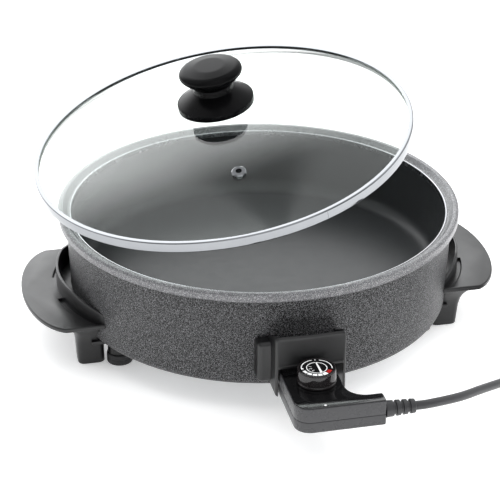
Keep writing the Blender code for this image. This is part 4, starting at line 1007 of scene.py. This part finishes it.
# ------------------------------------------------------------------ control
@dataclass
class Control:
    """Plug-in temperature control: two shells, a gloss plate, its probe and contacts."""

    left: float = -0.0275
    neck: float = 0.0215
    arm_right: float = 0.0505
    back: float = -0.1950
    arm_back: float = -0.2580
    front: float = -0.2720
    low: float = 0.0340
    high: float = 0.0578
    split: float = 0.0445
    top: float = 0.0585
    wall: float = 0.0020
    dial_y: float = -0.2285

    def outline(self, inset: float) -> list[Point]:
        """Plan of the case, moved in by an inset."""
        left, neck, right = self.left + inset, self.neck - inset, self.arm_right - inset
        back, arm, front = self.back - inset, self.arm_back - inset, self.front + inset
        small = max(0.0016 - inset, 0.0005)
        back_r = max(0.0045 - inset, 0.0010)
        return softened([
            (left, front, 0.0140 - inset), (right, front, small), (right, arm, small),
            (neck, arm, 0.0175 + inset), (neck, back, back_r), (left, back, back_r)], True, 10)

    def bored(self, piece: Piece) -> None:
        """Cut the openings for contacts, probe and cord relief."""
        for x, radius in ((-0.0130, 0.0036), (0.0, 0.0028), (0.0130, 0.0036)):
            bore = bar("bore", (x, self.back - 0.006, 0.0459), (x, self.back + 0.004, 0.0459), radius, 24)
            combined(piece, bore, Join.CUT)
        middle = (self.front + self.arm_back) / 2
        combined(piece, bar("bore", (self.arm_right - 0.006, middle, 0.0458),
                            (self.arm_right + 0.004, middle, 0.0458), 0.0044, 24), Join.CUT)

    def build_case(self) -> None:
        """Mould the two shells with softened edges and a fine parting line."""
        lower = slab("case_lower", self.outline(0.0), self.low, self.split, 0.0, 3)
        pick(lower)
        bpy.ops.object.mode_set(mode='EDIT')
        bpy.ops.mesh.select_mode(type='EDGE')
        select_edges(lambda a, b: a.z < self.low + 1e-5 and b.z < self.low + 1e-5)
        bpy.ops.mesh.bevel(offset=0.0018, segments=4, affect='EDGES')
        select_edges(lambda a, b: a.z > self.split - 1e-5 and b.z > self.split - 1e-5)
        bpy.ops.mesh.bevel(offset=0.0003, segments=2, affect='EDGES')
        bpy.ops.object.mode_set(mode='OBJECT')
        room = slab("room", self.outline(self.wall), self.low + self.wall, self.split + 0.001)
        combined(lower, room, Join.CUT)
        self.bored(lower)
        dressed(moved(lower, PAN_AXIS), CASE_ABS, Body.CONTROL, ["control_base"], 35.0)
        roof = self.top - 0.0016 - 0.0003
        upper = slab("case_upper", self.outline(0.0), self.split + 0.0003, self.high, 0.0, 3)
        pick(upper)
        bpy.ops.object.mode_set(mode='EDIT')
        bpy.ops.mesh.select_mode(type='EDGE')
        select_edges(lambda a, b: a.z > self.high - 1e-5 and b.z > self.high - 1e-5)
        bpy.ops.mesh.bevel(offset=0.0005, segments=3, affect='EDGES')
        select_edges(lambda a, b: a.z < self.split + 0.0004 and b.z < self.split + 0.0004)
        bpy.ops.mesh.bevel(offset=0.0003, segments=2, affect='EDGES')
        bpy.ops.object.mode_set(mode='OBJECT')
        combined(upper, slab("room", self.outline(self.wall), self.split - 0.001, roof - self.wall), Join.CUT)
        combined(upper, slab("recess", self.outline(0.0007), roof, self.high + 0.004), Join.CUT)
        self.bored(upper)
        shaft = bar("bore", (0, self.dial_y, 0.04), (0, self.dial_y, 0.07), 0.0033)
        combined(upper, shaft, Join.CUT)
        dressed(moved(upper, PAN_AXIS), CASE_ABS, Body.CONTROL, ["control_cover"], 35.0)

    def build_plate(self) -> None:
        """Cut the gloss plate with its ring groove and print the pointer's dot."""
        plate = slab("gloss_plate", self.outline(0.0010), self.top - 0.0016, self.top, 0.0004, 3)
        combined(plate, bar("bore", (0, self.dial_y, 0.04), (0, self.dial_y, 0.07), 0.0033), Join.CUT)
        groove = turned("groove", [(0.0212, self.top + 0.001), (0.0218, self.top + 0.001),
                                   (0.0218, self.top - 0.0004), (0.0212, self.top - 0.0004)], 128)
        moved(groove, Matrix.Translation((0, self.dial_y, 0)))
        combined(plate, groove, Join.CUT)
        dressed(moved(plate, PAN_AXIS), GLOSS_ABS, Body.CONTROL, ["control_fascia"], 35.0)
        dot = turned("pointer_dot", softened([
            (0.0, self.top + 0.00015, 0), (0.0011, self.top + 0.00015, 0.0001), (0.0011, self.top - 0.0002, 0),
            (0.0, self.top - 0.0002, 0)]), 32)
        moved(dot, PAN_AXIS @ Matrix.Translation((-0.0023, self.dial_y - 0.0396, 0)))
        dressed(dot, WHITE_INK, Body.CONTROL)

    def build(self) -> None:
        """Build the case and dress what is inside it and behind it."""
        self.build_case()
        self.build_plate()
        redressed(NICKEL, "probe_rod", "case_screw_1", "case_screw_2")
        redressed(BRASS, "contact_left", "contact_right", "bimetal_strip")
        redressed(STEATITE, "contact_block", "thermostat_switch")
        redressed(NEON, "pilot_lamp")


# Start, end and depth of the heating steps printed round the dial's front.
STEPS = ((193.0, 213.0, 0.0026), (217.0, 236.0, 0.0028), (240.0, 258.0, 0.0030), (262.0, 279.0, 0.0033),
         (283.0, 303.0, 0.0036))


@dataclass
class Dial:
    """Smoked dial with a printed disc: a ring, a pointer, steps and numbers."""

    axis_y: float = -0.2285
    low: float = 0.0588
    high: float = 0.0720
    radius: float = 0.0172
    disc_r: float = 0.0148

    def mark(self, name: str, inner: float, outer: float, start: float, end: float, finish: Finish) -> None:
        """Print one curved mark on the disc.

        Args:
            name: the mark's name.
            inner: its inner radius.
            outer: its outer radius.
            start: angle where it starts, in degrees.
            end: angle where it ends.
            finish: its ink.
        """
        steps = max(2, int(abs(end - start) / 6))
        outline = arc(0, 0, outer, start, end, steps) + arc(0, 0, inner, end, start, steps)
        top = self.high - 0.0001
        piece = slab(name, outline, top - 0.0002, top)
        moved(piece, Matrix.Translation((0, PAN_Y + self.axis_y, 0)))
        dressed(piece, finish, Body.DIAL)

    def number(self, text: str, angle: float, radius: float, size: float) -> None:
        """Print one number on the disc, its foot towards the axis."""
        deselect()
        bpy.ops.object.text_add()
        piece = bpy.context.object
        piece.data.body = text
        piece.data.align_x = 'CENTER'
        piece.data.align_y = 'CENTER'
        piece.data.size = size
        piece.data.extrude = 0.0001
        piece.data.resolution_u = 3
        bpy.ops.object.convert(target='MESH')
        piece = bpy.context.object
        piece.name = "number_" + text
        turn = math.radians(angle)
        spot = (radius * math.cos(turn), PAN_Y + self.axis_y + radius * math.sin(turn), self.high - 0.0002)
        moved(piece, Matrix.Translation(spot) @ Matrix.Rotation(turn - math.pi / 2, 4, 'Z'))
        dressed(piece, WHITE_INK, Body.DIAL)

    def build(self) -> None:
        """Turn the dial and print its disc."""
        height = self.high - self.low
        place = Matrix.Translation((0, PAN_Y + self.axis_y, self.low))
        skirt = turned("dial_skirt", softened([
            (0.0, height - 0.0012, 0), (self.disc_r + 0.0003, height - 0.0012, 0.0001),
            (self.disc_r + 0.0003, height, 0.0002), (self.radius - 0.0006, height, 0.0012),
            (self.radius, 0.0030, 0.0006), (self.radius - 0.0007, 0.0024, 0.0003), (self.radius, 0.0018, 0.0004),
            (self.radius, 0.0, 0.0005), (0.0033, 0.0, 0), (0.0033, 0.0057, 0), (0.0, 0.0057, 0)], False, 5), 128)
        dressed(moved(skirt, place), SMOKED_PC, Body.DIAL, ["dial"], 35.0)
        disc = turned("dial_face", softened([
            (0.0, height - 0.0002, 0), (self.disc_r, height - 0.0002, 0.0002), (self.disc_r, height - 0.0009, 0),
            (0.0, height - 0.0009, 0)]), 96)
        dressed(moved(disc, place), GLOSS_ABS, Body.DIAL, ["dial_disc"])
        self.mark("ring_line", 0.0084, 0.0091, 0.0, 359.9, WHITE_INK)
        for step, (start, end, depth) in enumerate(STEPS):
            self.mark("step_%d" % (step + 1), 0.0136 - depth, 0.0136, start, end, WHITE_INK)
        self.mark("step_hot", 0.0100, 0.0136, 307.0, 331.0, RED_INK)
        self.mark("left_arc", 0.0128, 0.0136, 96.0, 172.0, WHITE_INK)
        self.mark("left_arc_end", 0.0116, 0.0136, 172.0, 181.0, WHITE_INK)
        self.mark("right_arc", 0.0128, 0.0136, 345.0, 428.0, WHITE_INK)
        self.mark("off_mark", 0.0125, 0.0136, 80.0, 85.0, WHITE_INK)
        for step, angle in enumerate((150.0, 187.0, 224.0)):
            self.number(str(step + 1), angle, 0.0058, 0.0034)
        bar_half = 0.0010
        top = self.high - 0.0001
        pointer = slab("pointer_bar", softened([
            (-bar_half, -0.0082, 0.0006), (bar_half, -0.0082, 0.0006), (bar_half * 0.6, 0.0080, 0.0004),
            (-bar_half * 0.6, 0.0080, 0.0004)], True), top - 0.0002, top)
        moved(pointer, Matrix.Translation((0.0018, PAN_Y + self.axis_y, 0))
              @ Matrix.Rotation(math.radians(2), 4, 'Z'))
        dressed(pointer, WHITE_INK, Body.DIAL)
        redressed(NICKEL, "dial_shaft")


# ------------------------------------------------------------------ cord
@dataclass
class Cord:
    """Cord from the control: its relief, free stretch, coil, tie and plug."""

    radius: float = 0.0040
    exit_x: float = 0.0505
    exit_z: float = 0.0458
    exit_y: float = -0.2650
    relief_l: float = 0.0268
    coil_x: float = 0.2780
    coil_y: float = -0.1200
    outer_turn: float = 0.0490
    inner_turn: float = 0.0410
    low_z: float = 0.0056
    high_z: float = 0.0136
    plug_x: float = 0.3320
    plug_y: float = -0.1480
    plug_r: float = 0.0175

    def free_route(self) -> list[Vector]:
        """Chosen points from inside the relief to the coil's side."""
        return [Vector(p) for p in (
            (0.0640, -0.2650, 0.0458), (0.0770, -0.2650, 0.0458), (0.0900, -0.2642, 0.0454),
            (0.1220, -0.2510, 0.0400), (0.1490, -0.2320, 0.0330), (0.1745, -0.2120, 0.0245),
            (0.1980, -0.1885, 0.0130), (0.2130, -0.1680, 0.0066), (0.2245, -0.1440, 0.0056))]

    def coil_point(self, swept: float) -> Vector:
        """Place on the coil after a swept angle in degrees, clockwise from above."""
        def eased(start: float, end: float) -> float:
            """Share of the way from start to end, smooth at both."""
            share = min(max((swept - start) / (end - start), 0.0), 1.0)
            return share * share * (3 - 2 * share)

        gap = self.outer_turn - self.inner_turn
        r = self.outer_turn - gap * eased(295, 360) + gap * eased(875, 945)
        z = self.low_z + (self.high_z - self.low_z) * eased(595, 660)
        angle = math.radians(163.7 - swept)
        return Vector((self.coil_x + r * math.cos(angle), self.coil_y + r * math.sin(angle), z))

    def path(self) -> list[Vector]:
        """Whole centre line, from the relief to the plug's boot."""
        route = self.free_route()
        ends = [2 * route[0] - route[1], *route, self.coil_point(0.0)]
        smooth: list[Vector] = []
        for a, b, c, d in zip(ends, ends[1:], ends[2:], ends[3:]):
            for i in range(4):
                t = i / 4
                smooth.append(0.5 * (2 * b + (c - a) * t + (2 * a - 5 * b + 4 * c - d) * t ** 2
                                     + (3 * b - a - 3 * c + d) * t ** 3))
        smooth.append(route[-1])
        line_in = [route[-1].lerp(self.coil_point(0.0), i / 4) for i in range(1, 4)]
        turns = [self.coil_point(s) for s in range(0, 1236, 15)]
        last = self.coil_point(1235.0)
        tip = Vector((self.plug_x, self.plug_y, self.plug_r))
        lead_out = [last.lerp(tip, 0.35), last.lerp(tip, 0.65), tip + Vector((-0.0006, 0.006, -0.0002)),
                    tip + Vector((0, -0.004, 0)), tip + Vector((0, -0.012, 0))]
        return [p + Vector((0, PAN_Y, 0)) for p in smooth + line_in + turns + lead_out]

    def build_relief(self) -> Piece:
        """Tapered relief with three bending grooves cut into it."""
        line: list[Place] = [(0.0041, self.relief_l, 0.0002), (0.0062, self.relief_l, 0.0010)]
        for i in range(3):
            at = self.relief_l - 0.0058 - 0.0062 * i
            r = 0.0062 + (0.0074 - 0.0062) * (1 - at / self.relief_l)
            line += [(r, at + 0.0013, 0.0004), (r - 0.0016, at + 0.0009, 0.0004),
                     (r - 0.0016, at - 0.0009, 0.0004), (r, at - 0.0013, 0.0004)]
        line += [(0.0074, 0.0004, 0.0004), (0.0040, 0.0004, 0), (0.0040, -0.0060, 0), (0.0030, -0.0060, 0),
                 (0.0030, 0.0100, 0), (0.0041, 0.0120, 0)]
        relief = turned("cord_relief", softened(line, True, 4), 64)
        turn = Matrix.Rotation(math.radians(90), 4, 'Y')
        moved(relief, Matrix.Translation((self.exit_x, PAN_Y + self.exit_y, self.exit_z)) @ turn)
        return dressed(relief, MOULDED_PVC, Body.CONTROL, ["strain_relief"], 40.0)

    def build_tie(self) -> Piece:
        """Strap round the coil: a rounded band with a lapped end."""
        room = [(0.0355, 0.0012), (0.0542, 0.0012), (0.0542, 0.0181), (0.0355, 0.0181)]
        inside = softened([(y, z, 0.0016) for y, z in room], True, 5)
        grow = 0.0010
        outside = softened([(0.0355 - grow, 0.0012 - grow, 0.0026), (0.0542 + grow, 0.0012 - grow, 0.0026),
                            (0.0542 + grow, 0.0181 + grow, 0.0026),
                            (0.0355 - grow, 0.0181 + grow, 0.0026)], True, 5)
        strap = slab("tie_strap", outside, -0.0060, 0.0060, 0.0002, 2)
        combined(strap, slab("room", inside, -0.01, 0.01), Join.CUT)
        lap = slab("lap", softened([(0.0370, 0.0190, 0.0004), (0.0490, 0.0190, 0.0004), (0.0490, 0.0200, 0.0004),
                                    (0.0370, 0.0200, 0.0004)], True), -0.0056, 0.0056, 0.0002, 2)
        combined(strap, lap, Join.ADD)
        upright = Matrix(((0, 0, 1, 0), (1, 0, 0, 0), (0, 1, 0, 0), (0, 0, 0, 1)))
        moved(strap, Matrix.Translation((self.coil_x, PAN_Y + self.coil_y, 0)) @ upright)
        return dressed(strap, STRAP, Body.CONTROL, ["cord_tie"], 35.0)

    def build_plug(self) -> Piece:
        """Round plug with a ribbed boot and a grip groove."""
        boot, body = 0.0240, 0.0340
        end = boot + body
        line: list[Place] = [(0.0, end, 0), (self.plug_r, end, 0.0020), (self.plug_r, boot + 0.0240, 0.0006),
                             (self.plug_r - 0.0012, boot + 0.0225, 0.0006),
                             (self.plug_r - 0.0012, boot + 0.0195, 0.0006),
                             (self.plug_r, boot + 0.0180, 0.0006), (self.plug_r, boot + 0.0095, 0.0040),
                             (self.plug_r * 0.78, boot + 0.0020, 0.0040), (0.0078, boot - 0.0015, 0.0020)]
        for i in range(3):
            at = boot - 0.0060 - 0.0058 * i
            r = 0.0060 + 0.0016 * at / boot
            line += [(r, at + 0.0012, 0.0004), (r - 0.0013, at + 0.0008, 0.0003),
                     (r - 0.0013, at - 0.0008, 0.0003), (r, at - 0.0012, 0.0004)]
        line += [(0.0056, 0.0, 0.0005), (0.0, 0.0, 0)]
        plug = turned("plug_moulding", softened(line, False, 4), 72)
        turn = Matrix.Rotation(math.radians(90), 4, 'X')
        moved(plug, Matrix.Translation((self.plug_x, PAN_Y + self.plug_y, self.plug_r)) @ turn)
        return dressed(plug, MOULDED_PVC, Body.CONTROL, ["plug_body"], 40.0)

    def build(self) -> None:
        path = self.path()
        data = bpy.data.curves.new("griddle_cord", 'CURVE')
        data.dimensions = '3D'
        data.bevel_depth = self.radius
        data.bevel_resolution = 6
        data.use_fill_caps = True
        spline = data.splines.new('NURBS')
        spline.points.add(len(path) - 1)
        for point, place in zip(spline.points, path):
            point.co = (*place, 1)
        spline.order_u = 4
        spline.use_endpoint_u = True
        spline.resolution_u = 3
        cord = bpy.data.objects.new("griddle_cord", data)
        bpy.context.scene.collection.objects.link(cord)
        self.build_relief()
        tie = self.build_tie()
        plug = self.build_plug()
        redressed(NICKEL, "plug_pin_left", "plug_pin_right")
        dressed(cord, CORD_PVC, Body.CONTROL, ["power_cord", "cord_coil"])


# ------------------------------------------------------------------ studio
@dataclass
class Studio:
    """Pale floor, soft lights and the camera."""

    camera_at: Place = (-0.3399, -1.5119, 0.8585)
    tilt: float = 63.07
    heading: float = -12.37
    lens: float = 129.6
    surround_low: float = 0.80
    surround_high: float = 1.10
    gap_level: float = 0.45
    back_panel: float = 2.8
    floor_glow: float = 0.30

    def build_camera(self) -> None:
        """Long lens that looks down on the pan from the front left."""
        data = bpy.data.cameras.new("camera")
        data.lens = self.lens
        data.sensor_width = 36.0
        data.clip_start = 0.05
        camera = bpy.data.objects.new("camera", data)
        camera.location = (self.camera_at[0], self.camera_at[1] + PAN_Y, self.camera_at[2])
        camera.rotation_euler = (math.radians(self.tilt), 0.0, math.radians(self.heading))
        bpy.context.scene.collection.objects.link(camera)
        bpy.context.scene.camera = camera

    def build_floor(self) -> None:
        """Wide matt floor."""
        deselect()
        bpy.ops.mesh.primitive_plane_add(size=14.0, location=(0, 0, 0))
        floor = bpy.context.object
        floor.name = "studio_floor"
        paper = Finish("matt white paper", "#fbfbfb", "#f7f7f7", (0.9, 0.95), 300.0, 4.0, 0.01, specular=0.1)
        sheet = paper.build()
        shader = sheet.node_tree.nodes["Principled BSDF"]
        shader.inputs["Emission Color"].default_value = (1.0, 1.0, 1.0, 1.0)
        shader.inputs["Emission Strength"].default_value = self.floor_glow
        floor.data.materials.append(sheet)

    def lamp(self, name: str, place: Place, aim: Place, size: float, power: float) -> None:
        """One square soft light that faces a point."""
        data = bpy.data.lights.new(name, 'AREA')
        data.size = size
        data.energy = power
        light = bpy.data.objects.new(name, data)
        light.location = place
        light.visible_glossy = False
        light.visible_transmission = False
        light.rotation_euler = (Vector(aim) - Vector(place)).to_track_quat('-Z', 'Y').to_euler()
        bpy.context.scene.collection.objects.link(light)

    def build_surround(self) -> None:
        """White surround, brightest overhead and in a soft panel at the back, with darker gaps."""
        world = bpy.data.worlds.new("surround")
        world.use_nodes = True
        tree = world.node_tree
        towards = node(tree, "ShaderNodeTexCoord").outputs["Generated"]
        split = node(tree, "ShaderNodeSeparateXYZ", inputs={0: towards})
        height = node(tree, "ShaderNodeMapRange", {"interpolation_type": 'SMOOTHSTEP'}, {
            "Value": split.outputs["Z"], "From Min": 0.0, "From Max": 0.9, "To Min": self.surround_low,
            "To Max": self.surround_high})
        angle = node(tree, "ShaderNodeMath", {"operation": 'ARCTAN2'}, {
            0: split.outputs["Y"], 1: split.outputs["X"]})
        wave = node(tree, "ShaderNodeMath", {"operation": 'MULTIPLY'}, {0: angle.outputs[0], 1: 3.0})
        panels = node(tree, "ShaderNodeMath", {"operation": 'SINE'}, {0: wave.outputs[0]})
        gaps = node(tree, "ShaderNodeMapRange", {"interpolation_type": 'SMOOTHSTEP'}, {
            "Value": panels.outputs[0], "From Min": -0.9, "From Max": 0.1, "To Min": self.gap_level,
            "To Max": 1.0})
        level = node(tree, "ShaderNodeMath", {"operation": 'MULTIPLY'}, {
            0: height.outputs[0], 1: gaps.outputs[0]})
        facing = node(tree, "ShaderNodeVectorMath", {"operation": 'DOT_PRODUCT'}, {
            0: towards, 1: Vector((-0.12, 0.86, 0.48)).normalized()})
        panel = node(tree, "ShaderNodeMapRange", {"interpolation_type": 'SMOOTHSTEP'}, {
            "Value": facing.outputs["Value"], "From Min": 0.78, "From Max": 0.98, "To Min": 0.0,
            "To Max": self.back_panel})
        total = node(tree, "ShaderNodeMath", {"operation": 'ADD'}, {0: level.outputs[0], 1: panel.outputs[0]})
        tree.links.new(total.outputs[0], tree.nodes["Background"].inputs["Strength"])
        tree.nodes["Background"].inputs["Color"].default_value = (0.98, 0.99, 1.0, 1.0)
        bpy.context.scene.world = world

    def build_lights(self) -> None:
        """Very large soft lamps: one overhead, one at the right and a weak one at the left back."""
        self.lamp("overhead", (0.2, 0.3, 2.6), (0, 0, 0), 3.6, 50.0)
        self.lamp("right_side", (2.3, -0.3, 1.1), (0, 0, 0.1), 2.0, 52.0)
        self.lamp("left_back", (-2.1, 0.9, 1.0), (0, 0, 0.1), 1.8, 16.0)
        self.build_surround()
        bpy.context.scene.view_settings.view_transform = 'Standard'


def main() -> None:
    """Build every sub-assembly in order."""
    logging.basicConfig(level=logging.INFO, format="%(name)s: %(message)s")
    studio = Studio()
    studio.build_camera()
    parts = (Cord(), Pan(), Handle(-1, "left"), Handle(1, "right"), Guard(), Cover(), Control(), Dial())
    for part in parts:
        part.build()
        LOG.info("%s is done", type(part).__name__)
    studio.build_floor()
    studio.build_lights()


if __name__ == "__main__":
    main()
